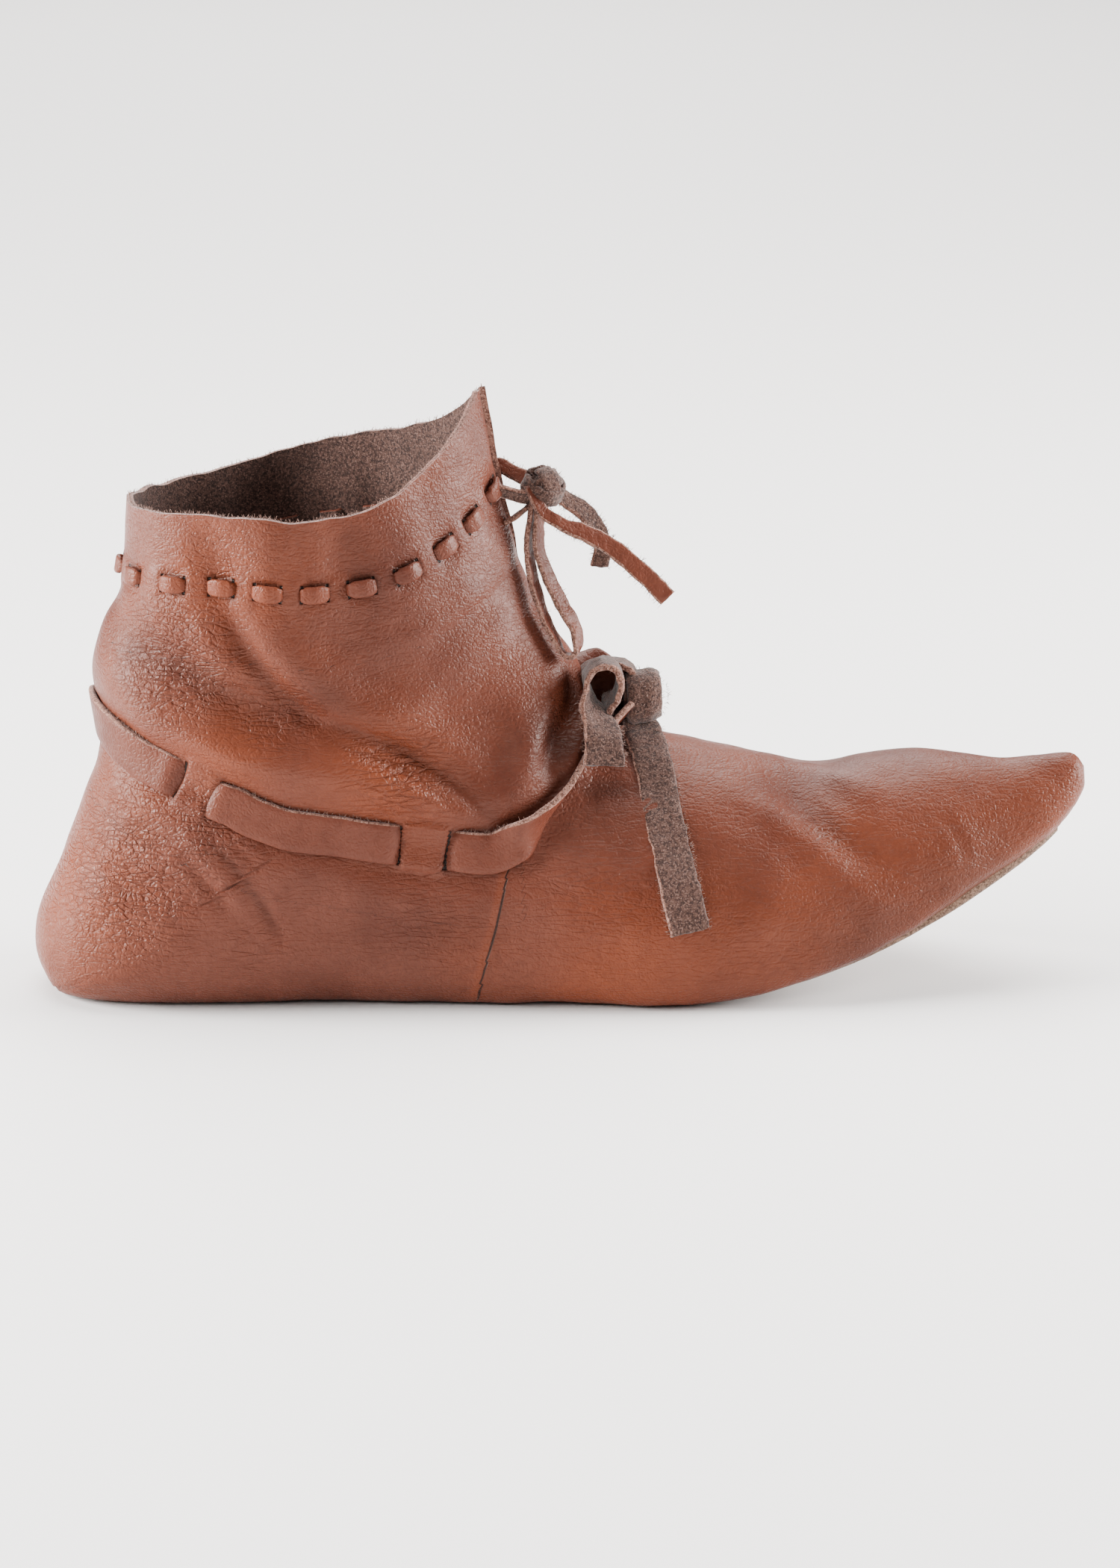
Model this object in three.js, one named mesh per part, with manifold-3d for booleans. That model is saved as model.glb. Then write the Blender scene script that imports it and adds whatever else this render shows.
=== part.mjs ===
// A left turnshoe of soft leather with a pointed, turned-up toe, a slack shaft, a thong woven round the collar
// and a strap woven round the ankle. Millimetres, +Z up, toe along +X, inner side of the foot towards -Y.
import * as THREE from "three";
import { mergeVertices } from "three/addons/utils/BufferGeometryUtils.js";
import Module from "manifold-3d";

const wasm = await Module();
wasm.setup();

// Last
const length = 290;
const ballWidth = 90;
const ankleWidth = 74;
const instepHeight = 80;
const toeSpring = 47;
const frontHeight = 164.5;
const backHeight = 136.5;
const collarDip = 12;
const springStart = 0.61 * length;
const springPower = 1.8;

// Leather
const wall = 1.8;
const soleThickness = 4;
const fitGap = 0.3;
const footGap = 0.5;
const faceGap = 0.1;

// Front slit of the shaft, and how many sections below the rim it ends
const slitWidth = 2.5;
const slitDown = 11.8;

// Collar thong, and how many sections below the rim it lies
const thongWidth = 5;
const thongThickness = 1.5;
const thongDash = 7;
const thongDown = 1.12;

// Ankle strap
const strapWidth = 11;
const strapThickness = 1.8;

// Free ribbons: the length of one step along them, and their section as shares of half the width and thickness
const ribbonStep = 7;
const ribbonSection = [
  [-1, -0.6],
  [-0.9, -1],
  [0.9, -1],
  [1, -0.6],
  [1, 0.6],
  [0.9, 1],
  [-0.9, 1],
  [-1, 0.6],
];

// Rows of numbers as objects with the names of their columns.
function tableOf(columns, rows) {
  return rows.map((row) => Object.fromEntries(columns.map((column, index) => [column, row[index]])));
}

// Sections of the upper from the toe over the vamp: where each one meets the top and the sole as shares of the
// length from the heel, its height over the sole line as a share of the instep height, its curl above the sole
// line as a share of the toe spring, the reach to the inner and outer side and the sway of its middle as shares
// of the ball width, the height of its widest place as a share of its own height, and the squareness below that.
const footRows = tableOf(
  ["top", "foot", "height", "curl", "inner", "outer", "sway", "widest", "square"],
  [
    [0.998, 0.999, 0.044, 0.167, 0.006, 0.006, -0.09, 0.5, 2],
    [0.986, 0.997, 0.133, 0.1, 0.052, 0.058, -0.088, 0.45, 2.2],
    [0.952, 0.978, 0.218, 0.02, 0.11, 0.12, -0.078, 0.36, 2.6],
    [0.914, 0.945, 0.3, 0, 0.175, 0.195, -0.062, 0.3, 3],
    [0.845, 0.89, 0.447, 0, 0.265, 0.3, -0.04, 0.27, 3.5],
    [0.79, 0.834, 0.535, 0, 0.34, 0.38, -0.022, 0.26, 4.4],
    [0.748, 0.783, 0.586, 0, 0.395, 0.435, -0.01, 0.25, 5],
    [0.7, 0.721, 0.692, 0, 0.44, 0.49, 0, 0.25, 5.5],
    [0.638, 0.648, 0.793, 0, 0.467, 0.533, 0, 0.25, 5.5],
    [0.583, 0.569, 0.847, 0, 0.46, 0.53, 0, 0.26, 5.4],
    [0.538, 0.472, 0.91, 0, 0.43, 0.49, 0, 0.3, 5],
    [0.526, 0.369, 0.985, 0, 0.4, 0.45, 0, 0.33, 4.8],
  ],
);

// Sections from the throat round the heel and up the shaft: front and back as shares of the length, the front as a
// share of the height from the instep to the collar, the back as a share of the collar's back height, the reach to
// each side as a share of the ankle width and the sag of the sides as a share of the collar's dip.
const shaftRows = tableOf(
  ["top", "foot", "rise", "climb", "inner", "outer", "widest", "square", "peak", "dip"],
  [
    [0.52, 0.259, 0.083, 0.004, 0.485, 0.52, 0.36, 4.6, 2, 0],
    [0.509, 0.155, 0.149, 0.004, 0.485, 0.51, 0.38, 4.2, 2, 0],
    [0.5, 0.045, 0.19, 0.006, 0.495, 0.505, 0.42, 3.5, 2, 0],
    [0.491, 0.008, 0.238, 0.037, 0.49, 0.5, 0.45, 2.8, 2, 0],
    [0.484, 0.002, 0.274, 0.133, 0.485, 0.495, 0.48, 2.3, 2, 0.1],
    [0.477, 0.029, 0.31, 0.281, 0.485, 0.49, 0.5, 2.2, 1.95, 0.2],
    [0.472, 0.05, 0.357, 0.4, 0.485, 0.485, 0.5, 2.1, 1.9, 0.3],
    [0.466, 0.064, 0.405, 0.474, 0.485, 0.485, 0.5, 2.1, 1.85, 0.4],
    [0.46, 0.067, 0.452, 0.548, 0.49, 0.49, 0.5, 2.1, 1.8, 0.5],
    [0.457, 0.062, 0.5, 0.637, 0.5, 0.5, 0.5, 2.1, 1.8, 0.6],
    [0.452, 0.068, 0.56, 0.719, 0.5, 0.5, 0.5, 2.1, 1.75, 0.7],
    [0.445, 0.082, 0.643, 0.807, 0.5, 0.5, 0.5, 2.1, 1.7, 0.78],
    [0.439, 0.091, 0.726, 0.874, 0.5, 0.5, 0.5, 2.1, 1.65, 0.85],
    [0.425, 0.096, 1, 1, 0.505, 0.505, 0.5, 2.1, 1.6, 1],
  ],
);

// Sag of the rim below a straight line from front to back, as shares of the collar's dip, at even turns from the
// front to the back.
const rimRows = [
  { inner: 0, outer: 0 },
  { inner: 0.6, outer: 0.56 },
  { inner: 1.15, outer: 0.74 },
  { inner: 1.43, outer: 0.69 },
  { inner: 1.22, outer: 0.62 },
  { inner: 0.68, outer: 0.56 },
  { inner: 0.32, outer: 0.38 },
  { inner: 0.1, outer: 0.15 },
  { inner: 0, outer: 0 },
];

// Sole outline: the place along the length from the heel and the reach to each side as shares of the ball width.
const soleRows = [
  { along: 0.022, inner: 0.04, outer: 0.04 },
  { along: 0.03, inner: 0.12, outer: 0.12 },
  { along: 0.055, inner: 0.2, outer: 0.205 },
  { along: 0.1, inner: 0.25, outer: 0.26 },
  { along: 0.18, inner: 0.265, outer: 0.28 },
  { along: 0.3, inner: 0.25, outer: 0.29 },
  { along: 0.42, inner: 0.26, outer: 0.325 },
  { along: 0.54, inner: 0.315, outer: 0.375 },
  { along: 0.64, inner: 0.35, outer: 0.4 },
  { along: 0.72, inner: 0.352, outer: 0.385 },
  { along: 0.79, inner: 0.325, outer: 0.325 },
  { along: 0.855, inner: 0.282, outer: 0.24 },
  { along: 0.91, inner: 0.235, outer: 0.145 },
  { along: 0.95, inner: 0.19, outer: 0.055 },
  { along: 0.972, inner: 0.145, outer: -0.015 },
];

const toX = (share) => (share - 0.5) * length;

function springAt(x) {
  const start = toX(springStart / length);
  const share = Math.max(0, (x - start) / (length / 2 - start));
  return toeSpring * share ** springPower;
}

// Each section as its two ends in the middle plane and its two reaches, in millimetres.
const sections = [
  ...footRows.map((row) => {
    const footUp = springAt(toX(row.foot)) + footGap + row.curl * toeSpring;
    return {
      topX: toX(row.top),
      topZ: footUp + row.height * instepHeight,
      footX: toX(row.foot),
      footZ: footUp,
      inner: row.inner * ballWidth,
      outer: row.outer * ballWidth,
      sway: row.sway * ballWidth,
      widest: row.widest,
      square: row.square,
      peak: 2,
      dip: 0,
    };
  }),
  ...shaftRows.map((row) => ({
    topX: toX(row.top),
    topZ: instepHeight + row.rise * (frontHeight - instepHeight),
    footX: toX(row.foot),
    footZ: Math.max(footGap, row.climb * backHeight),
    inner: row.inner * ankleWidth,
    outer: row.outer * ankleWidth,
    sway: 0,
    widest: row.widest,
    square: row.square,
    peak: row.peak,
    dip: row.dip * collarDip,
  })),
];
const lastRow = sections.length - 1;
const slitFoot = lastRow - slitDown;
const thongRow = lastRow - thongDown;

function smoothBetween(rows, column, at) {
  const place = THREE.MathUtils.clamp(at, 0, rows.length - 1);
  const index = Math.min(Math.floor(place), rows.length - 2);
  const share = place - index;
  const before = rows[Math.max(index - 1, 0)][column];
  const start = rows[index][column];
  const end = rows[index + 1][column];
  const after = rows[Math.min(index + 2, rows.length - 1)][column];
  const startSlope = (end - before) / 2;
  const endSlope = (after - start) / 2;
  const square = share * share;
  const cube = square * share;
  return (
    (2 * cube - 3 * square + 1) * start +
    (cube - 2 * square + share) * startSlope +
    (3 * square - 2 * cube) * end +
    (cube - square) * endSlope
  );
}

// A point of the upper's outer face. The angle is 0 at the top or front and runs over the inner side to a half turn
// at the sole or back, and on over the outer side.
function upperPoint(at, angle) {
  const read = (column) => smoothBetween(sections, column, at);
  const top = new THREE.Vector3(read("topX"), 0, read("topZ"));
  const foot = new THREE.Vector3(read("footX"), 0, read("footZ"));
  const up = Math.cos(angle);
  const side = Math.sin(angle);
  const power = up > 0 ? read("peak") : read("square");
  const radius = (Math.abs(up) ** power + Math.abs(side) ** power) ** (-1 / power);
  const widest = read("widest");
  const along = widest + radius * up * (up > 0 ? 1 - widest : widest);
  const reach = side > 0 ? -read("inner") : read("outer");
  const point = foot.lerp(top, along);
  point.y = read("sway") + reach * radius * Math.abs(side);
  const turn = (Math.acos(up) / Math.PI) * (rimRows.length - 1);
  point.z -= read("dip") * smoothBetween(rimRows, side > 0 ? "inner" : "outer", turn);
  return point;
}

const probe = 0.02;

function upperNormal(at, angle) {
  const low = Math.max(at - probe, 0);
  const high = Math.min(at + probe, lastRow);
  const along = upperPoint(high, angle).sub(upperPoint(low, angle));
  const around = upperPoint(at, angle + probe).sub(upperPoint(at, angle - probe));
  return along.cross(around).normalize();
}

function upperOffset(at, angle, distance) {
  return upperPoint(at, angle).addScaledVector(upperNormal(at, angle), distance);
}

// A closed body through rings of points, with its faces turned outwards by the sign of its volume.
function loft(rings) {
  const positions = [];
  const indices = [];
  const around = rings[0].length;
  for (const ring of rings) {
    for (const point of ring) positions.push(...point.toArray());
  }
  for (let row = 0; row < rings.length - 1; row += 1) {
    for (let column = 0; column < around; column += 1) {
      const next = (column + 1) % around;
      const a = row * around + column;
      const b = row * around + next;
      const c = (row + 1) * around + column;
      const d = (row + 1) * around + next;
      indices.push(a, b, d, a, d, c);
    }
  }
  for (const [ring, first, turned] of [
    [rings[0], 0, true],
    [rings.at(-1), (rings.length - 1) * around, false],
  ]) {
    const middle = new THREE.Vector3();
    for (const point of ring) middle.addScaledVector(point, 1 / around);
    const centre = positions.length / 3;
    positions.push(...middle.toArray());
    for (let column = 0; column < around; column += 1) {
      const a = first + column;
      const b = first + ((column + 1) % around);
      indices.push(...(turned ? [centre, b, a] : [centre, a, b]));
    }
  }
  const geometry = new THREE.BufferGeometry();
  geometry.setAttribute("position", new THREE.Float32BufferAttribute(positions, 3));
  return solidOf(geometry.setIndex(indices));
}

function solidOf(geometry) {
  const bare = geometry.index ? geometry.toNonIndexed() : geometry.clone();
  const onlyPosition = new THREE.BufferGeometry().setAttribute("position", bare.getAttribute("position"));
  const merged = mergeVertices(onlyPosition, 1e-4);
  const vertProperties = new Float32Array(merged.attributes.position.array);
  const triVerts = new Uint32Array(merged.index.array);
  const made = new wasm.Manifold(new wasm.Mesh({ numProp: 3, vertProperties, triVerts }));
  if (made.volume() > 0) return made;
  for (let corner = 0; corner < triVerts.length; corner += 3) {
    [triVerts[corner + 1], triVerts[corner + 2]] = [triVerts[corner + 2], triVerts[corner + 1]];
  }
  return new wasm.Manifold(new wasm.Mesh({ numProp: 3, vertProperties, triVerts }));
}

function meshOf(name, solid, material) {
  const made = solid.getMesh();
  const geometry = new THREE.BufferGeometry();
  geometry.setAttribute("position", new THREE.BufferAttribute(new Float32Array(made.vertProperties), 3));
  geometry.setIndex(new THREE.BufferAttribute(new Uint32Array(made.triVerts), 1));
  geometry.computeVertexNormals();
  const mesh = new THREE.Mesh(geometry, material);
  mesh.name = name;
  return mesh;
}

// Upper
const outerRowStep = 0.64;
const innerRowStep = 0.9;
const outerAround = 36;
const innerAround = 26;
const hollowStart = 1.5;
const cutOver = 30;

function ringOf(at, around, distance) {
  const ring = [];
  for (let step = 0; step < around; step += 1) {
    ring.push(upperOffset(at, (step / around) * 2 * Math.PI, distance));
  }
  return ring;
}

function rowsBetween(first, last, step) {
  const count = Math.ceil((last - first) / step);
  return Array.from({ length: count + 1 }, (_, index) => first + ((last - first) * index) / count);
}

const skin = loft(rowsBetween(0, lastRow, outerRowStep).map((at) => ringOf(at, outerAround, 0)));
const hollowRings = rowsBetween(hollowStart, lastRow, innerRowStep).map((at) => ringOf(at, innerAround, -wall));
hollowRings.push(hollowRings.at(-1).map((point) => point.clone().setZ(point.z + cutOver)));
const hollow = loft(hollowRings);

// Sole
const soleStations = 44;

function soleSolid(clearance, under) {
  const rings = [];
  const rows = soleRows.length - 1;
  for (let station = 0; station <= soleStations; station += 1) {
    const at = (station / soleStations) * rows;
    const endShift = station === 0 ? -clearance : station === soleStations ? clearance : 0;
    const x = toX(smoothBetween(soleRows, "along", at)) + endShift;
    const inner = -smoothBetween(soleRows, "inner", at) * ballWidth - clearance;
    const outer = smoothBetween(soleRows, "outer", at) * ballWidth + clearance;
    const low = springAt(x) - under;
    const high = springAt(x) + soleThickness + clearance;
    rings.push([
      new THREE.Vector3(x, inner, low),
      new THREE.Vector3(x, outer, low),
      new THREE.Vector3(x, outer, high),
      new THREE.Vector3(x, inner, high),
    ]);
  }
  return loft(rings);
}

// A band on the upper's own face: its route is a list of places with the row, the angle and the lift of its
// underside from the face, and a clearance thickens it on every side.
function bandRings(route, lanes, width, thickness, clearance) {
  return route.map((place, index) => {
    const before = route[Math.max(index - 1, 0)];
    const after = route[Math.min(index + 1, route.length - 1)];
    const heading = upperPoint(after.at, after.angle).sub(upperPoint(before.at, before.angle));
    const outward = upperNormal(place.at, place.angle);
    const across = new THREE.Vector3().crossVectors(outward, heading).normalize();
    const perRow = upperPoint(place.at + probe, place.angle).sub(upperPoint(place.at - probe, place.angle));
    perRow.divideScalar(2 * probe);
    const perAngle = upperPoint(place.at, place.angle + probe).sub(upperPoint(place.at, place.angle - probe));
    perAngle.divideScalar(2 * probe);
    const rowSquare = perRow.dot(perRow);
    const angleSquare = perAngle.dot(perAngle);
    const mixed = perRow.dot(perAngle);
    const spread = rowSquare * angleSquare - mixed * mixed;
    const rowShare = (across.dot(perRow) * angleSquare - across.dot(perAngle) * mixed) / spread;
    const angleShare = (across.dot(perAngle) * rowSquare - across.dot(perRow) * mixed) / spread;
    const low = [];
    const high = [];
    for (let lane = 0; lane < lanes; lane += 1) {
      const reach = (lane / (lanes - 1) - 0.5) * (width + 2 * clearance);
      const at = place.at + rowShare * reach;
      const angle = place.angle + angleShare * reach;
      low.push(upperOffset(at, angle, place.lift - clearance));
      high.unshift(upperOffset(at, angle, place.lift + thickness + clearance));
    }
    return [...low, ...high];
  });
}

// The front slit runs up the middle of the shaft and out past the collar.
const slitRoute = rowsBetween(slitFoot, lastRow, 1).map((at) => ({ at, angle: 0, lift: -2 * wall - slitWidth }));
const slitRings = bandRings(slitRoute, 2, slitWidth, 3 * wall + 2 * slitWidth, 0);
slitRings.push(slitRings.at(-1).map((point) => point.clone().setZ(point.z + cutOver)));
const slitCut = loft(slitRings);

const radians = THREE.MathUtils.degToRad;
const outsideLift = fitGap + faceGap;
const insideLift = (thickness) => -(wall + fitGap + faceGap + thickness);

// Middles of the thong's visible dashes on one side, from the front slit to the heel.
const thongRows = [
  { angle: 8 },
  { angle: 25 },
  { angle: 41 },
  { angle: 58 },
  { angle: 74 },
  { angle: 89 },
  { angle: 103 },
  { angle: 118 },
  { angle: 135 },
  { angle: 157 },
];

// The thong's ends leave the leather on the way to the knot, at these turns and lifts in thicknesses from their
// first dash. Between two dashes it lies inside from one share of the gap to the other.
const thongLead = [
  { turn: radians(4.5), lift: 5 },
  { turn: radians(2.5), lift: 1.5 },
];
const hiddenShares = [0.35, 0.65];

// The thong goes once round, out and in through its slits, and its two ends lead forward to the knot.
function thongRoute() {
  const innerSide = thongRows.map((row) => radians(row.angle));
  const dashes = [...innerSide, Math.PI, ...innerSide.map((angle) => 2 * Math.PI - angle).reverse()];
  const halfTurn = (angle) => {
    const near = upperPoint(thongRow, angle - probe);
    return (thongDash * probe) / near.distanceTo(upperPoint(thongRow, angle + probe));
  };
  const lead = (angle, way) =>
    thongLead.map(({ turn, lift }) => ({ at: thongRow, angle: angle - way * turn, lift: lift * thongThickness }));
  const places = [...lead(dashes[0], 1)];
  dashes.forEach((angle, index) => {
    const half = halfTurn(angle);
    const shares = [-1, 0, 1].filter((share) => dashes[index + share] !== undefined || share === 0);
    for (const share of shares) {
      places.push({ at: thongRow, angle: angle + share * half, lift: outsideLift });
    }
    if (index === dashes.length - 1) return;
    const next = dashes[index + 1];
    const gapStart = angle + half;
    const gap = next - halfTurn(next) - gapStart;
    for (const share of hiddenShares) {
      places.push({ at: thongRow, angle: gapStart + share * gap, lift: insideLift(thongThickness) });
    }
  });
  return [...places, ...lead(dashes.at(-1), -1).reverse()];
}

// Strap on one side, from the front over the instep to the heel: row and angle of its middle, and 1 where it lies
// outside the upper or 0 where it passes inside.
const strapRows = tableOf(
  ["at", "angle", "shown"],
  [
    [9.85, 9, 1],
    [10, 18, 1],
    [10.3, 34, 1],
    [10.6, 50, 1],
    [10.9, 64, 1],
    [11.4, 73, 1],
    [12, 76, 1],
    [12.2, 76.5, 0],
    [12.8, 77.5, 0],
    [13, 78, 1],
    [14, 80, 1],
    [15, 85.5, 1],
    [15.9, 93, 1],
    [16.6, 102, 1],
    [17.1, 110, 1],
    [17.3, 113, 0],
    [17.9, 122, 0],
    [18.15, 126, 1],
    [18.95, 139, 1],
    [19.7, 153, 1],
    [20.15, 167, 1],
  ],
);

const strapHeel = 20.3;

function strapRoute() {
  const placed = (turn) => (row) => ({
    at: row.at,
    angle: turn(radians(row.angle)),
    lift: row.shown ? outsideLift : insideLift(strapThickness),
  });
  const innerSide = strapRows.map(placed((angle) => angle));
  const outerSide = strapRows.map(placed((angle) => 2 * Math.PI - angle)).reverse();
  const heel = { at: strapHeel, angle: Math.PI, lift: outsideLift };
  return [...innerSide, heel, ...outerSide];
}

// A flat ribbon through hand-placed points, with its width turned from one direction to another along the way.
function ribbon({ points, width, thickness, from, to }) {
  const curve = new THREE.CatmullRomCurve3(points.map((point) => new THREE.Vector3(...point)));
  const steps = Math.max(4, Math.round(curve.getLength() / ribbonStep));
  const rings = [];
  for (let step = 0; step <= steps; step += 1) {
    const share = step / steps;
    const centre = curve.getPointAt(share);
    const tangent = curve.getTangentAt(share);
    const across = new THREE.Vector3(...from).lerp(new THREE.Vector3(...to), share);
    across.addScaledVector(tangent, -across.dot(tangent)).normalize();
    const outward = new THREE.Vector3().crossVectors(across, tangent);
    rings.push(
      ribbonSection.map(([side, out]) =>
        centre
          .clone()
          .addScaledVector(across, (side * width) / 2)
          .addScaledVector(outward, (out * thickness) / 2),
      ),
    );
  }
  return loft(rings);
}

const knotAround = 12;
const knotRings = 8;

function roundedKnot(centre, size) {
  const geometry = new THREE.SphereGeometry(0.5, knotAround, knotRings);
  geometry.scale(...size);
  geometry.translate(...centre);
  return solidOf(geometry);
}

const leather = new THREE.MeshStandardMaterial({ color: 0x9c5f40, roughness: 0.6, metalness: 0 });
const soleLeather = new THREE.MeshStandardMaterial({ color: 0xc9bba8, roughness: 0.8, metalness: 0 });
const suede = new THREE.MeshStandardMaterial({ color: 0x7d6459, roughness: 0.95, metalness: 0 });

// Tie of the thong in front of the shaft
const thongTie = {
  collar_loop: {
    points: [
      [-7.6, -3.6, 130.6],
      [-8.6, -6, 117],
      [-6.2, -8.5, 106],
      [-1, -11.5, 95.5],
      [1.3, -12.5, 92.6],
      [3.6, -11.5, 95.5],
      [1.2, -8, 106],
      [-3.8, -5.5, 117.5],
      [-4.6, -4.6, 130.4],
    ],
    from: [0, 1, 0],
    to: [0, 1, 0],
  },
  collar_end_long: {
    points: [
      [-0.2, -3.4, 131.2],
      [5, -6, 125.2],
      [12.5, -7, 121.5],
      [20.5, -8.5, 115],
      [29, -10, 105.8],
    ],
    from: [0.6, 0, 0.8],
    to: [0.7, 0, 0.7],
  },
  collar_end_short: {
    points: [
      [1.2, 1.8, 136.4],
      [5.6, 4.2, 131.5],
      [11, 5.5, 125],
      [11.5, 6, 114.5],
    ],
    from: [0, 0.6, 0.8],
    to: [1, 0, 0],
  },
};

// Tie of the strap over the instep
const strapTie = {
  strap_loop: {
    points: [
      [15.5, -14.8, 80],
      [15.2, -14.8, 84.2],
      [11.5, -14.8, 86.3],
      [7.6, -15, 82.4],
      [9, -16.5, 76.4],
      [11.6, -20.5, 71.6],
      [11.6, -26, 66.8],
    ],
    from: [0, 1, 0],
    to: [1, 0.3, 0],
  },
};
const endRows = [
  { at: 9.08, angle: 16 },
  { at: 9.08, angle: 28 },
  { at: 8.95, angle: 44 },
  { at: 8.8, angle: 60 },
  { at: 8.62, angle: 72 },
  { at: 8.5, angle: 84 },
];
const endRoute = endRows.map((row) => ({ at: row.at, angle: radians(row.angle), lift: 2 * fitGap }));
const collarKnot = { centre: [-4.6, -1, 137.6], size: [9, 9, 10] };
const strapKnot = { centre: [22.6, -4, 78.8], size: [10, 13, 14] };

const thong = thongRoute();
const strap = strapRoute();
const bandCuts = loft(bandRings(thong, 2, thongWidth, thongThickness, fitGap)).add(
  loft(bandRings(strap, 3, strapWidth, strapThickness, fitGap)),
);

const soleCut = soleSolid(fitGap, cutOver);
const upper = skin.subtract(hollow).subtract(soleCut).subtract(slitCut).subtract(bandCuts);

const solids = {
  upper: [upper, leather],
  sole: [soleSolid(0, 0), soleLeather],
  collar_thong: [loft(bandRings(thong, 2, thongWidth, thongThickness, 0)), leather],
  collar_knot: [roundedKnot(collarKnot.centre, collarKnot.size), suede],
  ankle_strap: [loft(bandRings(strap, 3, strapWidth, strapThickness, 0)), leather],
  strap_knot: [roundedKnot(strapKnot.centre, strapKnot.size), suede],
  strap_end: [loft(bandRings(endRoute, 3, strapWidth, strapThickness, 0)), suede],
};
for (const [name, tie] of Object.entries(thongTie)) {
  solids[name] = [ribbon({ ...tie, width: thongWidth, thickness: thongThickness }), suede];
}
for (const [name, tie] of Object.entries(strapTie)) {
  solids[name] = [ribbon({ ...tie, width: strapWidth, thickness: strapThickness }), suede];
}

const shoe = new THREE.Group();
for (const [name, [solid, material]] of Object.entries(solids)) shoe.add(meshOf(name, solid, material));

export default shoe;
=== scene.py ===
# A left turnshoe of soft leather: one slack upper on a thin sole, a thong woven round the collar and a strap woven
# round the ankle, both tied in front. The toe points along +X and the inner side of the foot faces -Y.
import math
import random

import bmesh
import bpy
import numpy as np
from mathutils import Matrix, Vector, noise


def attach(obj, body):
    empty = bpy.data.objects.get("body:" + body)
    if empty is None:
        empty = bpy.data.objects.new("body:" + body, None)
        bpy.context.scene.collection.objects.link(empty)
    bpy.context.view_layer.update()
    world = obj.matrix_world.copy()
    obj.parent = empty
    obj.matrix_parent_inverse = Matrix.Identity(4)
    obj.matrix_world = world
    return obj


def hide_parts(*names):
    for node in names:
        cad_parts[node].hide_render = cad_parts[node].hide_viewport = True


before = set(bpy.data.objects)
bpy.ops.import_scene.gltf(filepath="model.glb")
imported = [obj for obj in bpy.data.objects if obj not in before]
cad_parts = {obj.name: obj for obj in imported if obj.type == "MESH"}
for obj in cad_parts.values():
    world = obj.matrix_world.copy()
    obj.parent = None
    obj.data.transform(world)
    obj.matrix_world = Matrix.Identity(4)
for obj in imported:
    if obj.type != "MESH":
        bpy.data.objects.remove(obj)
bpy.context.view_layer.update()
mm = 0.001
random.seed(7)

# Camera
cameraView = {
    "azimuth": -4,
    "elevation": 15,
    "distance": 1.20225,
    "target": (0, 0, 0.0539),
    "lens": 100,
    "sensor": 36,
}


def makeCamera(view):
    turn = math.radians(view["azimuth"])
    rise = math.radians(view["elevation"])
    back = Vector((math.sin(turn) * math.cos(rise), -math.cos(turn) * math.cos(rise), math.sin(rise)))
    data = bpy.data.cameras.new("camera")
    data.lens = view["lens"]
    data.sensor_fit = "VERTICAL"
    data.sensor_height = view["sensor"]
    data.clip_end = 30
    camera = bpy.data.objects.new("camera", data)
    camera.location = Vector(view["target"]) + back * view["distance"]
    camera.rotation_euler = (-back).to_track_quat("-Z", "Y").to_euler()
    bpy.context.scene.collection.objects.link(camera)
    bpy.context.scene.camera = camera


makeCamera(cameraView)
print("camera is set")

# Routes and small meshes


def smoothRoute(points, step):
    # A smooth curve through the points, evenly spaced, and each point's place along the list of points
    points = np.asarray(points, float)
    fine = np.linspace(0, len(points) - 1, 24 * (len(points) - 1) + 1)
    line = smoothBetween(points, fine)
    along = np.concatenate([[0], np.cumsum(np.linalg.norm(np.diff(line, axis=0), axis=1))])
    count = max(4, round(along[-1] / step))
    places = np.interp(np.linspace(0, along[-1], count + 1), along, fine)
    return smoothBetween(points, places), places


def smoothBetween(table, at):
    # Reads a table of rows at any place between them, on a smooth curve that keeps to the rows
    place = np.clip(at, 0, len(table) - 1)
    index = np.minimum(place.astype(int), len(table) - 2)
    share = (place - index)[:, None]
    before = table[np.maximum(index - 1, 0)]
    start = table[index]
    end = table[index + 1]
    after = table[np.minimum(index + 2, len(table) - 1)]
    square = share * share
    cube = square * share
    return (
        (2 * cube - 3 * square + 1) * start
        + (cube - 2 * square + share) * (end - before) / 2
        + (3 * square - 2 * cube) * end
        + (cube - square) * (after - start) / 2
    )


def smoothStep(value, low, high):
    share = np.clip((value - low) / (high - low), 0, 1)
    return share * share * (3 - 2 * share)


def unit(vectors):
    return vectors / np.maximum(np.linalg.norm(vectors, axis=-1, keepdims=True), 1e-12)


def tangentsOf(line):
    return unit(np.gradient(line, axis=0))


def gridPiece(name, points, faceSlots=None, roundClosed=False, capEnds=False):
    # A grid laid over an array of points in metres: rings by columns, closed round and capped where asked
    rings, columns = points.shape[:2]
    bm = bmesh.new()
    bmesh.ops.create_grid(bm, x_segments=columns - 1, y_segments=rings - 1, size=1)
    if faceSlots is not None:
        for face in bm.faces:
            middle = face.calc_center_median()
            column = int((middle.x + 1) / 2 * (columns - 1))
            ring = int((middle.y + 1) / 2 * (rings - 1))
            face.material_index = int(faceSlots(ring, column))
    for vert in bm.verts:
        column = round((vert.co.x + 1) / 2 * (columns - 1))
        ring = round((vert.co.y + 1) / 2 * (rings - 1))
        vert.co = points[ring, column]
    if roundClosed:
        bmesh.ops.remove_doubles(bm, verts=bm.verts, dist=1e-6)
    if capEnds:
        bmesh.ops.holes_fill(bm, edges=[edge for edge in bm.edges if edge.is_boundary])
    bmesh.ops.recalc_face_normals(bm, faces=bm.faces)
    return pieceFrom(name, bm)


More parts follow.
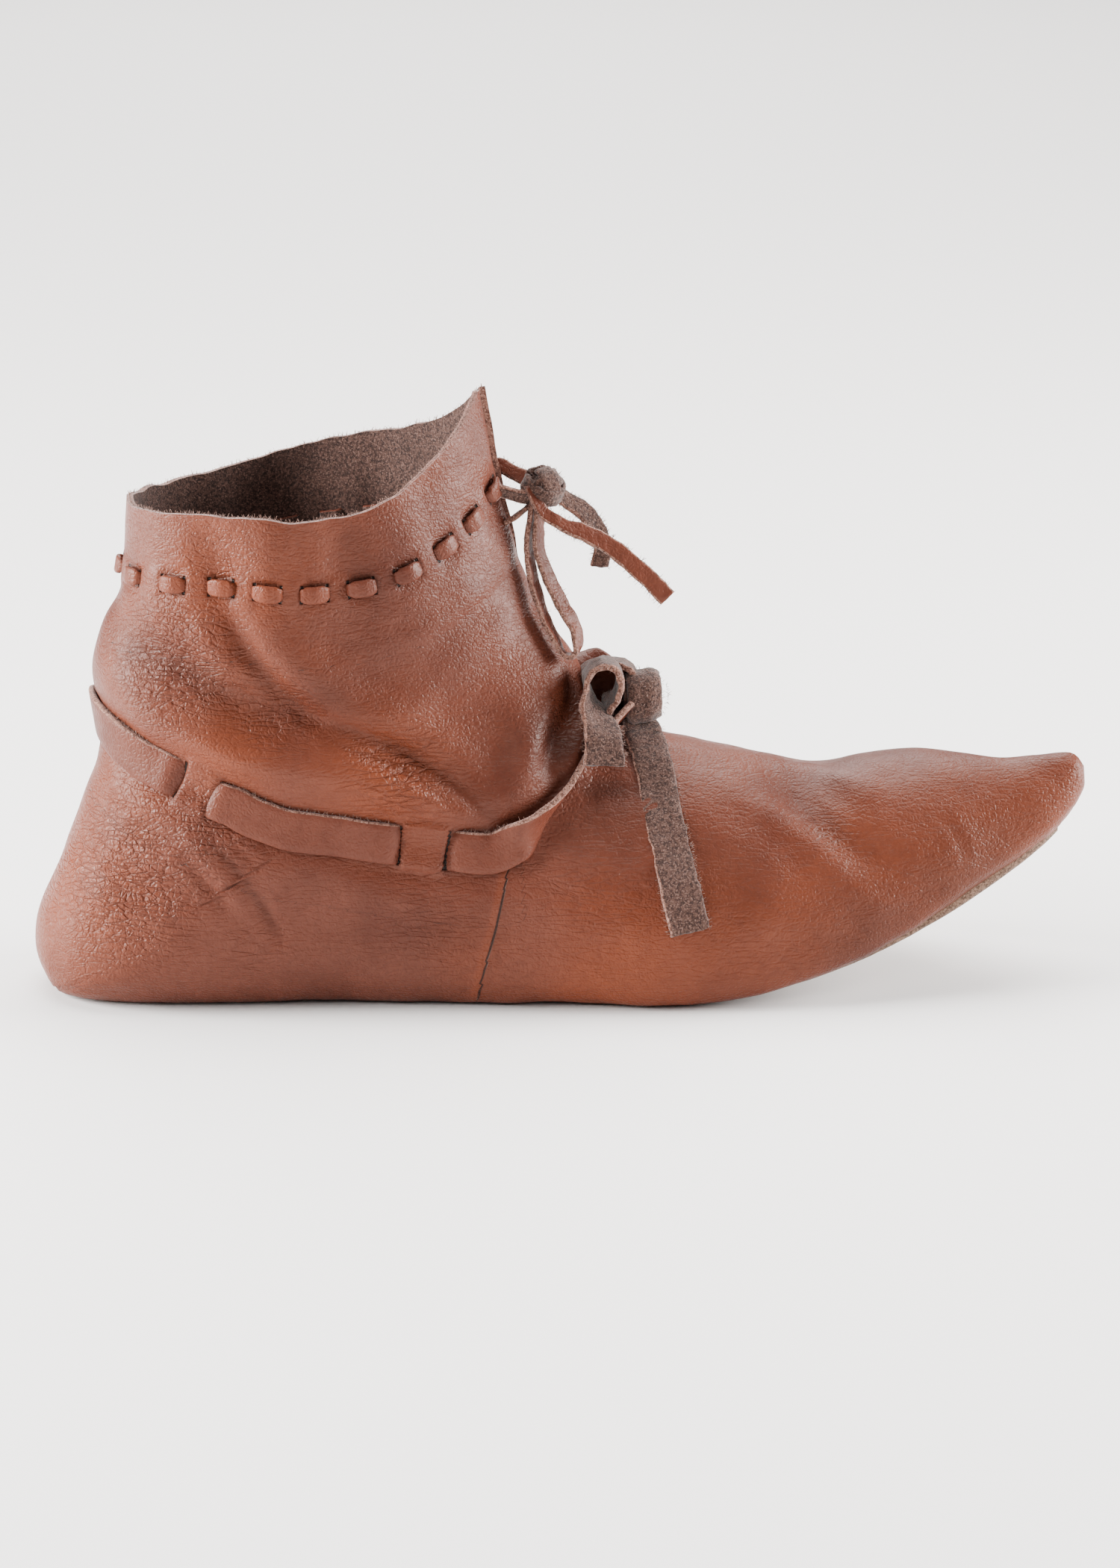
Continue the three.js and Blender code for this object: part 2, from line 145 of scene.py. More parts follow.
def pieceFrom(name, bm, smooth=True):
    mesh = bpy.data.meshes.new(name)
    bm.to_mesh(mesh)
    bm.free()
    mesh.polygons.foreach_set("use_smooth", [smooth] * len(mesh.polygons))
    piece = bpy.data.objects.new(name, mesh)
    bpy.context.scene.collection.objects.link(piece)
    return piece


def softened(points, size, amount, seed):
    # Random uneven lengths at points in metres, smooth over the given size
    shift = Vector((seed * 3.7, seed * 1.9, seed * 5.3))
    return np.array([noise.noise(Vector(point) / size + shift) for point in points]) * amount


def ribbonRings(line, across, width, thickness, sides=4, edge=0.28):
    # Flat sections with rounded edges along a line: outer face first, then one edge, the inner face and the other
    outward = unit(np.cross(across, tangentsOf(line)))
    width = np.broadcast_to(width, len(line))
    slim = thickness / width.mean()
    lanes = np.linspace(-1, 1, sides + 1) * (1 - edge * slim * 2)
    corner = 1 - 0.08 * slim
    section = [(lane, 1) for lane in lanes]
    section += [(corner, 0.72), (1, 0), (corner, -0.72)]
    section += [(lane, -1) for lane in lanes[::-1]]
    section += [(-corner, -0.72), (-1, 0), (-corner, 0.72)]
    section.append(section[0])
    rings = np.zeros((len(line), len(section), 3))
    for column, (side, out) in enumerate(section):
        rings[:, column] = line + across * (side * width / 2)[:, None] + outward * out * thickness / 2
    return rings


def ribbonSlots(sides, outer=0, cut=1, inner=2, lower=1):
    def slotOf(ring, column):
        if column < sides:
            return outer
        if column < sides + 4:
            return cut
        return inner if column < 2 * sides + 4 else lower
    return slotOf


def levelled(line, hints):
    # Width directions turned square to the line
    tangents = tangentsOf(line)
    return unit(hints - tangents * np.sum(hints * tangents, axis=1)[:, None])


# Shader nodes


class Channel:
    # A socket that takes part in Python expressions
    def __init__(self, finish, socket):
        self.finish = finish
        self.socket = socket

    def maths(self, operation, first, second=0.0):
        return self.finish.node("ShaderNodeMath", {"operation": operation}, {0: first, 1: second})

    def __add__(self, other):
        return self.maths("ADD", self, other)

    def __radd__(self, other):
        return self.maths("ADD", other, self)

    def __sub__(self, other):
        return self.maths("SUBTRACT", self, other)

    def __rsub__(self, other):
        return self.maths("SUBTRACT", other, self)

    def __mul__(self, other):
        return self.maths("MULTIPLY", self, other)

    def __rmul__(self, other):
        return self.maths("MULTIPLY", other, self)

    def __truediv__(self, other):
        return self.maths("DIVIDE", self, other)

    def __rtruediv__(self, other):
        return self.maths("DIVIDE", other, self)

    def __pow__(self, other):
        return self.maths("POWER", self, other)

    def size(self):
        return self.maths("ABSOLUTE", self)

    def within(self, low, high, start=0.0, end=1.0):
        # Goes softly from start to end as the value goes from low to high
        return self.finish.node(
            "ShaderNodeMapRange",
            {"interpolation_type": "SMOOTHSTEP"},
            {"Value": self, "From Min": low, "From Max": high, "To Min": start, "To Max": end},
        )


class Finish:
    def __init__(self, name):
        self.material = bpy.data.materials.new(name)
        self.material.use_nodes = True
        self.tree = self.material.node_tree
        self.surface = self.tree.nodes["Principled BSDF"]

    def node(self, kind, settings, inputs, output=0):
        made = self.tree.nodes.new(kind)
        for name, value in settings.items():
            setattr(made, name, value)
        for key, value in inputs.items():
            self.feed(made.inputs[key], value)
        return Channel(self, made.outputs[output])

    def feed(self, socket, value):
        if isinstance(value, Channel):
            self.tree.links.new(value.socket, socket)
        else:
            socket.default_value = value

    def place(self, scale=(1, 1, 1), turn=(0, 0, 0)):
        spot = self.node("ShaderNodeTexCoord", {}, {}, "Object")
        return self.node("ShaderNodeMapping", {}, {"Vector": spot, "Scale": scale, "Rotation": turn})

    def bent(self, place, scale, amount):
        # The same place pushed about by a soft pattern, so that straight patterns wander
        drift = self.node("ShaderNodeTexNoise", {}, {"Vector": place, "Scale": scale, "Detail": 2.0}, "Color")
        centred = self.node("ShaderNodeVectorMath", {"operation": "SUBTRACT"}, {0: drift, 1: (0.5, 0.5, 0.5)})
        pushed = self.node("ShaderNodeVectorMath", {"operation": "SCALE"}, {0: centred, "Scale": amount})
        return self.node("ShaderNodeVectorMath", {"operation": "ADD"}, {0: place, 1: pushed})

    def cloud(self, place, scale, detail=4.0, roughness=0.55):
        inputs = {"Vector": place, "Scale": scale, "Detail": detail, "Roughness": roughness}
        return self.node("ShaderNodeTexNoise", {}, inputs)

    def cells(self, place, scale, feature="F1"):
        return self.node("ShaderNodeTexVoronoi", {"feature": feature}, {"Vector": place, "Scale": scale})

    def painted(self, name, output="Fac"):
        return self.node("ShaderNodeAttribute", {"attribute_name": name}, {}, output)

    def blend(self, share, first, second, way="MIX"):
        settings = {"data_type": "RGBA", "blend_type": way, "clamp_factor": True}
        return self.node("ShaderNodeMix", settings, {0: share, 6: first, 7: second}, 2)

    def relief(self, height, distance, strength=1.0, below=None):
        inputs = {"Height": height, "Distance": distance, "Strength": strength}
        if below is not None:
            inputs["Normal"] = below
        return self.node("ShaderNodeBump", {}, inputs)

    def finished(self, **sockets):
        for name, value in sockets.items():
            self.feed(self.surface.inputs[name.replace("_", " ")], value)
        return self.material


def shade(red, green, blue):
    # A screen colour from 0 to 255 as the linear colour that a shader takes
    def linear(value):
        value /= 255
        return value / 12.92 if value <= 0.04045 else ((value + 0.055) / 1.055) ** 2.4
    return (linear(red), linear(green), linear(blue), 1)


# Leather of the upper, thong and strap
grainLook = {
    "base": shade(95, 50, 37),
    "deep": shade(72, 32, 21),
    "warm": shade(124, 58, 29),
    # fold is the colour of painted shade: along folds, in shaded places and beside the bands
    "fold": shade(34, 15, 11),
    # slit is the colour of painted shade in the slits, and of the seam's dark line
    "slit": shade(14, 7, 5),
    "roughness": 0.43,
    "specular": 0.2,
    "specularTint": shade(255, 240, 232),
    "coat": 0.025,
    "coatRoughness": 0.28,
    "grain": 0.00007,
    "pores": 0.00004,
    "wrinkle": 0.0006,
    "stroke": 0.00015,
    "slitDepth": 0.0006,
    "seamDepth": 0.00025,
}


def grainLeather(name, look, painted):
    finish = Finish(name)
    here = finish.place()
    pores = finish.cells(here, 1700)
    pebbles = finish.cells(finish.bent(here, 260, 0.0012), 820, "DISTANCE_TO_EDGE")
    patches = finish.cloud(here, 30, 5, 0.6)
    broad = finish.cloud(here, 11, 3, 0.5)
    fine = finish.cloud(here, 420, 3, 0.6)
    colour = finish.blend(patches.within(0.42, 0.7) * 0.8, look["base"], look["deep"])
    colour = finish.blend(broad.within(0.48, 0.7) * 0.45, colour, look["warm"])
    colour = finish.blend(fine.within(0.4, 0.75) * 0.3, colour, look["deep"])
    roughness = look["roughness"] + (fine - 0.5) * 0.2 + (patches - 0.5) * 0.14
    height = pebbles.within(0, 0.3) * look["grain"] + pores * look["pores"]
    if painted:
        crackle = finish.painted("crackle")
        paintedShade = finish.painted("paintedShade")
        glow = finish.painted("glow")
        network = finish.cells(finish.bent(here, 170, 0.004), 520, "DISTANCE_TO_EDGE").within(0, 0.2)
        slanted = finish.bent(finish.place((0.5, 1, 2.1), (0, 0.3, 0)), 70, 0.012)
        fans = finish.cells(slanted, 300, "DISTANCE_TO_EDGE").within(0, 0.16)
        # Short raised strokes where the leather has been bent often
        drift = finish.bent(finish.place((0.22, 0.6, 1.5), (0, 0.18, 0)), 36, 0.014)
        strokes = (finish.cloud(drift, 300, 1, 0.4) - 0.5).size().within(0.01, 0.085, 1.0, 0.0)
        strokes = strokes * finish.cloud(here, 150, 2, 0.5).within(0.47, 0.6)
        wrinkles = network * 0.3 + fans * 0.55
        height = height + wrinkles * crackle * look["wrinkle"] + strokes * crackle * look["stroke"]
        # Painted warm light
        colour = finish.blend(glow, colour, look["warm"])
        # Painted shade along the folds and in the painted shade patches, in the fold colour
        colour = finish.blend(paintedShade, colour, look["fold"])
        # Painted shade in the lines of the fine wrinkles
        colour = finish.blend((1 - fans) * crackle * 0.45, colour, look["deep"])
        roughness = roughness + (1 - network) * crackle * 0.12 - crackle * 0.08 - strokes * crackle * 0.06
        band = finish.painted("band", "Vector")
        along = finish.node("ShaderNodeSeparateXYZ", {}, {"Vector": band}, "X")
        across = finish.node("ShaderNodeSeparateXYZ", {}, {"Vector": band}, "Y")
        # Painted shade: the slits that the bands pass through are painted dark and pressed in
        slit = along.size().within(0.22, 0.55, 1.0, 0.0) * across.size().within(0.9, 1.05, 1.0, 0.0)
        # Painted shadow: a dark halo along both sides of each band where it lies on the leather
        near = along.within(-1.2, 0.3) * across.size().within(0.85, 1.3, 1.0, 0.0)
        # The vamp's seam is a fine dark line with a thinly worn strip behind it
        seam = finish.painted("seam")
        line = seam.size().within(0.18, 0.42, 1.0, 0.0)
        rear = seam.within(-2.9, -1.6) * seam.within(-0.5, -0.2, 1.0, 0.0)
        colour = finish.blend(rear * 0.2, colour, look["warm"])
        # Painted shadow beside the bands, in the fold colour
        colour = finish.blend(near * 0.45, colour, look["fold"])
        colour = finish.blend(line * 0.85, colour, look["slit"])
        # Painted shade in the slits
        colour = finish.blend(slit, colour, look["slit"])
        height = height - slit * look["slitDepth"] - line * look["seamDepth"]
    normal = finish.relief(height, 1.0)
    finish.surface.inputs["Coat Roughness"].default_value = look["coatRoughness"]
    finish.surface.inputs["Coat Weight"].default_value = look["coat"]
    finish.surface.inputs["Specular IOR Level"].default_value = look["specular"]
    finish.surface.inputs["Specular Tint"].default_value = look["specularTint"]
    return finish.finished(Base_Color=colour, Roughness=roughness, Normal=normal)


# Flesh side of the same leather, and its cut edges
suedeLook = {"base": shade(82, 58, 50), "dark": shade(44, 29, 25), "light": shade(126, 98, 88)}
edgeLook = {"base": shade(118, 80, 68), "dark": shade(70, 42, 34), "light": shade(160, 120, 106)}
bandEdgeLook = {"base": shade(136, 98, 84), "dark": shade(78, 50, 41), "light": shade(180, 140, 126)}
soleLook = {"base": shade(112, 86, 70), "dark": shade(70, 50, 38), "light": shade(142, 114, 98)}
fibreLook = {"base": shade(128, 98, 86), "dark": shade(84, 58, 50), "light": shade(160, 128, 116)}


def nappedLeather(name, look, nap=0.00035, roughness=0.95):
    finish = Finish(name)
    here = finish.place()
    tufts = finish.cloud(here, 2200, 2, 0.6)
    clumps = finish.cloud(finish.bent(here, 500, 0.0008), 1100, 4, 0.7)
    patches = finish.cloud(here, 60, 3, 0.6)
    colour = finish.blend(clumps.within(0.38, 0.6, 1.0, 0.0), look["base"], look["dark"])
    colour = finish.blend(tufts.within(0.5, 0.72) * 0.75, colour, look["light"])
    colour = finish.blend(patches.within(0.5, 0.75) * 0.3, colour, look["dark"])
    normal = finish.relief((clumps * 0.7 + tufts * 0.4) * nap, 1.0)
    finish.surface.inputs["Sheen Weight"].default_value = 0.2
    finish.surface.inputs["Sheen Roughness"].default_value = 0.5
    finish.surface.inputs["Specular IOR Level"].default_value = 0.15
    finish.surface.inputs["Roughness"].default_value = roughness
    return finish.finished(Base_Color=colour, Normal=normal)


upperGrain = grainLeather("upper_grain", grainLook, True)
bandGrain = grainLeather("band_grain", grainLook, False)
suede = nappedLeather("suede", suedeLook)
cutEdge = nappedLeather("cut_edge", edgeLook, 0.00015)
bandEdge = nappedLeather("band_edge", bandEdgeLook, 0.00015)
solePale = nappedLeather("sole_leather", soleLook, 0.0002, 0.85)
looseFibre = nappedLeather("loose_fibre", fibreLook, 0.00005)
print("materials are made")

# Shape of the last and the upper, as shares of its sizes in metres
lastSizes = {
    "length": 0.290,
    "ballWidth": 0.090,
    "ankleWidth": 0.074,
    "instepHeight": 0.080,
    "toeSpring": 0.047,
    "frontHeight": 0.1645,
    "backHeight": 0.1365,
    "collarDip": 0.012,
    "springStart": 0.61,
    "springPower": 1.8,
    "footGap": 0.0005,
    "wall": 0.0018,
}
# top, foot, height, curl, inner, outer, sway, widest, square
footRows = [
    (0.998, 0.999, 0.044, 0.167, 0.006, 0.006, -0.09, 0.5, 2),
    (0.986, 0.997, 0.133, 0.1, 0.052, 0.058, -0.088, 0.45, 2.2),
    (0.952, 0.978, 0.218, 0.02, 0.11, 0.12, -0.078, 0.36, 2.6),
    (0.914, 0.945, 0.3, 0, 0.175, 0.195, -0.062, 0.3, 3),
    (0.845, 0.89, 0.447, 0, 0.265, 0.3, -0.04, 0.27, 3.5),
    (0.79, 0.834, 0.535, 0, 0.34, 0.38, -0.022, 0.26, 4.4),
    (0.748, 0.783, 0.586, 0, 0.395, 0.435, -0.01, 0.25, 5),
    (0.7, 0.721, 0.692, 0, 0.44, 0.49, 0, 0.25, 5.5),
    (0.638, 0.648, 0.793, 0, 0.467, 0.533, 0, 0.25, 5.5),
    (0.583, 0.569, 0.847, 0, 0.46, 0.53, 0, 0.26, 5.4),
    (0.538, 0.472, 0.91, 0, 0.43, 0.49, 0, 0.3, 5),
    (0.526, 0.369, 0.985, 0, 0.4, 0.45, 0, 0.33, 4.8),
]
# top, foot, rise, climb, inner, outer, widest, square, peak, dip
shaftRows = [
    (0.52, 0.259, 0.083, 0.004, 0.485, 0.52, 0.36, 4.6, 2, 0),
    (0.509, 0.155, 0.149, 0.004, 0.485, 0.51, 0.38, 4.2, 2, 0),
    (0.5, 0.045, 0.19, 0.006, 0.495, 0.505, 0.42, 3.5, 2, 0),
    (0.491, 0.008, 0.238, 0.037, 0.49, 0.5, 0.45, 2.8, 2, 0),
    (0.484, 0.002, 0.274, 0.133, 0.485, 0.495, 0.48, 2.3, 2, 0.1),
    (0.477, 0.029, 0.31, 0.281, 0.485, 0.49, 0.5, 2.2, 1.95, 0.2),
    (0.472, 0.05, 0.357, 0.4, 0.485, 0.485, 0.5, 2.1, 1.9, 0.3),
    (0.466, 0.064, 0.405, 0.474, 0.485, 0.485, 0.5, 2.1, 1.85, 0.4),
    (0.46, 0.067, 0.452, 0.548, 0.49, 0.49, 0.5, 2.1, 1.8, 0.5),
    (0.457, 0.062, 0.5, 0.637, 0.5, 0.5, 0.5, 2.1, 1.8, 0.6),
    (0.452, 0.068, 0.56, 0.719, 0.5, 0.5, 0.5, 2.1, 1.75, 0.7),
    (0.445, 0.082, 0.643, 0.807, 0.5, 0.5, 0.5, 2.1, 1.7, 0.78),
    (0.439, 0.091, 0.726, 0.874, 0.5, 0.5, 0.5, 2.1, 1.65, 0.85),
    (0.425, 0.096, 1, 1, 0.505, 0.505, 0.5, 2.1, 1.6, 1),
]
# Sag of the rim from the front round to the back, inner and outer side
rimRows = np.array([
    (0, 0),
    (0.6, 0.56),
    (1.15, 0.74),
    (1.43, 0.69),
    (1.22, 0.62),
    (0.68, 0.56),
    (0.32, 0.38),
    (0.1, 0.15),
    (0, 0),
])


def springAt(x):
    start = (lastSizes["springStart"] - 0.5) * lastSizes["length"]
    share = np.maximum(0, (x - start) / (lastSizes["length"] / 2 - start))
    return lastSizes["toeSpring"] * share ** lastSizes["springPower"]


def makeSections():
    size = lastSizes
    made = []
    for top, foot, height, curl, inner, outer, sway, widest, square in footRows:
        footX = (foot - 0.5) * size["length"]
        footUp = springAt(footX) + size["footGap"] + curl * size["toeSpring"]
        topX = (top - 0.5) * size["length"]
        topZ = footUp + height * size["instepHeight"]
        reach = (inner * size["ballWidth"], outer * size["ballWidth"], sway * size["ballWidth"])
        made.append((topX, topZ, footX, footUp, *reach, widest, square, 2, 0))
    for top, foot, rise, climb, inner, outer, widest, square, peak, dip in shaftRows:
        topX = (top - 0.5) * size["length"]
        topZ = size["instepHeight"] + rise * (size["frontHeight"] - size["instepHeight"])
        footX = (foot - 0.5) * size["length"]
        footUp = max(size["footGap"], climb * size["backHeight"])
        reach = (inner * size["ankleWidth"], outer * size["ankleWidth"], 0)
        made.append((topX, topZ, footX, footUp, *reach, widest, square, peak, dip * size["collarDip"]))
    return np.array(made)


sections = makeSections()
lastRow = len(sections) - 1


def upperPoint(at, angle):
    # The angle is 0 in front or on top and runs over the inner side to a half turn at the sole or the back
    topX, topZ, footX, footZ, inner, outer, sway, widest, square, peak, dip = smoothBetween(sections, at).T
    up = np.cos(angle)
    side = np.sin(angle)
    power = np.where(up > 0, peak, square)
    radius = (np.abs(up) ** power + np.abs(side) ** power) ** (-1 / power)
    along = widest + radius * up * np.where(up > 0, 1 - widest, widest)
    x = footX + (topX - footX) * along
    z = footZ + (topZ - footZ) * along
    y = sway + np.where(side > 0, -inner, outer) * radius * np.abs(side)
    turn = np.arccos(np.clip(up, -1, 1)) / math.pi * (len(rimRows) - 1)
    sag = smoothBetween(rimRows, turn)
    z = z - dip * np.where(side > 0, sag[:, 0], sag[:, 1])
    return np.stack([x, y, z], axis=1)


def upperSlopes(at, angle, probe=0.02):
    # How a point of the upper moves with its row and its angle
    low = np.maximum(at - probe, 0)
    high = np.minimum(at + probe, lastRow)
    perRow = (upperPoint(high, angle) - upperPoint(low, angle)) / (high - low)[:, None]
    perAngle = (upperPoint(at, angle + probe) - upperPoint(at, angle - probe)) / (2 * probe)
    return perRow, perAngle


def upperNormal(at, angle):
    perRow, perAngle = upperSlopes(at, angle)
    return unit(np.cross(perRow, perAngle))


# Ankle strap and collar thong: row and angle in degrees of the middle line, from the front to the heel. The strap
# lies outside where the third number is 1, and the thong's numbers are the middles of its dashes.
ankleStrap = {
    "width": 0.011,
    "thickness": 0.0018,
    "lift": 0.0005,
    "heelLift": 0.0011,
    "rows": [
        (9.85, 9, 1), (10, 18, 1), (10.3, 34, 1), (10.6, 50, 1), (10.9, 64, 1), (11.4, 73, 1), (12, 76, 1),
        (12.2, 76.5, 0), (12.8, 77.5, 0), (13, 78, 1), (14, 80, 1), (15, 85.5, 1), (15.9, 93, 1), (16.6, 102, 1),
        (17.1, 110, 1), (17.3, 113, 0), (17.9, 122, 0), (18.15, 126, 1), (18.95, 139, 1), (19.7, 153, 1),
        (20.15, 167, 1), (20.3, 180, 1),
    ],
    # On its way to the knot: places in millimetres, width direction and share of the width. The near end turns
    # edge-on under the puffed leather, and only its upper edge still shows.
    "nearEnd": [
        ((-13.5, -35.0, 47.7), (0, -0.05, 1), 1), ((-9.6, -33.6, 50.6), (-0.2, -0.45, 0.8), 0.86),
        ((-6.6, -31.6, 53.5), (-0.25, -0.8, 0.6), 0.68), ((-2.6, -28.8, 56.9), (-0.1, -0.92, 0.38), 0.52),
        ((0.8, -25.9, 60.4), (0, -0.95, 0.3), 0.46), ((3.8, -22.6, 64.4), (0, -0.95, 0.3), 0.46),
        ((6.6, -19.6, 68.2), (0, -0.95, 0.3), 0.5), ((10.5, -16, 71.8), (0, -0.95, 0.3), 0.6),
        ((14.5, -13, 75), (0, -0.9, 0.4), 0.7), ((18.5, -9.5, 78), (0, -0.9, 0.4), 0.7),
    ],
    "farEnd": [
        ((4.5, 17.5, 75), (0, 0, 1), 1), ((2.4, 14, 82.5), (-0.3, -0.4, 0.85), 1), ((3.4, 9.8, 87.4), (-0.45, -0.75, 0.1), 1),
        ((7.6, 5.4, 86), (-0.2, -0.5, -0.75), 1.1), ((12.6, 1.6, 83), (0, -0.3, -0.95), 1.15),
        ((19, -2, 81.4), (0, -0.3, -0.95), 0.95),
    ],
    "nearFrom": -0.0185,
}
collarThong = {
    "width": 0.005,
    "thickness": 0.0015,
    "dash": 0.007,
    "row": 23.88,
    "angles": [8, 25, 41, 58, 74, 89, 103, 118, 135, 157, 180],
    "puff": 0.0008,
}


def strapMiddles():
    # Fine places on the strap's middle line round the heel, from the inner front to the outer front
    rows = ankleStrap["rows"]
    rows = rows + [(at, 360 - angle, shown) for at, angle, shown in rows[-2::-1]]
    table = np.array([(at, math.radians(angle)) for at, angle, _ in rows])
    shown = np.array([shown for _, _, shown in rows])
    fine = np.linspace(0, len(rows) - 1, 40 * (len(rows) - 1) + 1)
    places = smoothBetween(table, fine)
    points = upperPoint(places[:, 0], places[:, 1])
    along = np.concatenate([[0], np.cumsum(np.linalg.norm(np.diff(points, axis=0), axis=1))])
    ends = [i for i in range(len(rows) - 1) if shown[i] != shown[i + 1]]
    slits = [float(np.interp(i + 0.5, fine, along)) for i in ends]
    return places, points, along, slits


def thongMiddles():
    half = [math.radians(angle) for angle in collarThong["angles"]]
    dashes = half + [2 * math.pi - angle for angle in half[-2::-1]]
    angles = np.linspace(math.radians(2), 2 * math.pi - math.radians(2), 1200)
    rows = np.full(len(angles), collarThong["row"])
    points = upperPoint(rows, angles)
    along = np.concatenate([[0], np.cumsum(np.linalg.norm(np.diff(points, axis=0), axis=1))])
    middles = np.interp(dashes, angles, along)
    slits = [float(middle + way * collarThong["dash"] / 2) for middle in middles for way in (-1, 1)]
    return np.stack([rows, angles], axis=1), points, along, slits


def shownDepth(along, slits, startsShown):
    # How far a place on a band is inside a shown stretch, or, below zero, inside a hidden one
    slits = np.array(slits)
    nearest = np.min(np.abs(along[:, None] - slits[None, :]), axis=1)
    passed = np.sum(along[:, None] > slits[None, :], axis=1)
    shown = (passed % 2 == 0) == startsShown
    return np.where(shown, nearest, -nearest)


bands = {}
for bandName, middles, startsShown, width in (
    ("strap", strapMiddles(), True, ankleStrap["width"]),
    ("thong", thongMiddles(), False, collarThong["width"]),
):
    places, points, along, slits = middles
    normals = upperNormal(places[:, 0], places[:, 1])
    bands[bandName] = {
        "places": places,
        "points": points,
        "along": along,
        "depth": shownDepth(along, slits, startsShown),
        "normals": normals,
        "up": unit(np.cross(normals, tangentsOf(points))),
        "half": width / 2,
    }
    # The width direction points towards the collar
    if bands[bandName]["up"][len(points) // 2, 2] < 0:
        bands[bandName]["up"] *= -1


def besideBand(points, band):
    # Signed distance above the band's middle line, depth inside its shown stretch, and distance from the line
    across = np.zeros(len(points))
    depth = np.zeros(len(points))
    far = np.zeros(len(points))
    for start in range(0, len(points), 4000):
        part = points[start:start + 4000]
        gaps = np.linalg.norm(part[:, None, :] - band["points"][None, :, :], axis=2)
        nearest = np.argmin(gaps, axis=1)
        across[start:start + 4000] = np.sum((part - band["points"][nearest]) * band["up"][nearest], axis=1)
        depth[start:start + 4000] = band["depth"][nearest]
        far[start:start + 4000] = gaps[np.arange(len(part)), nearest]
    return across, depth, far
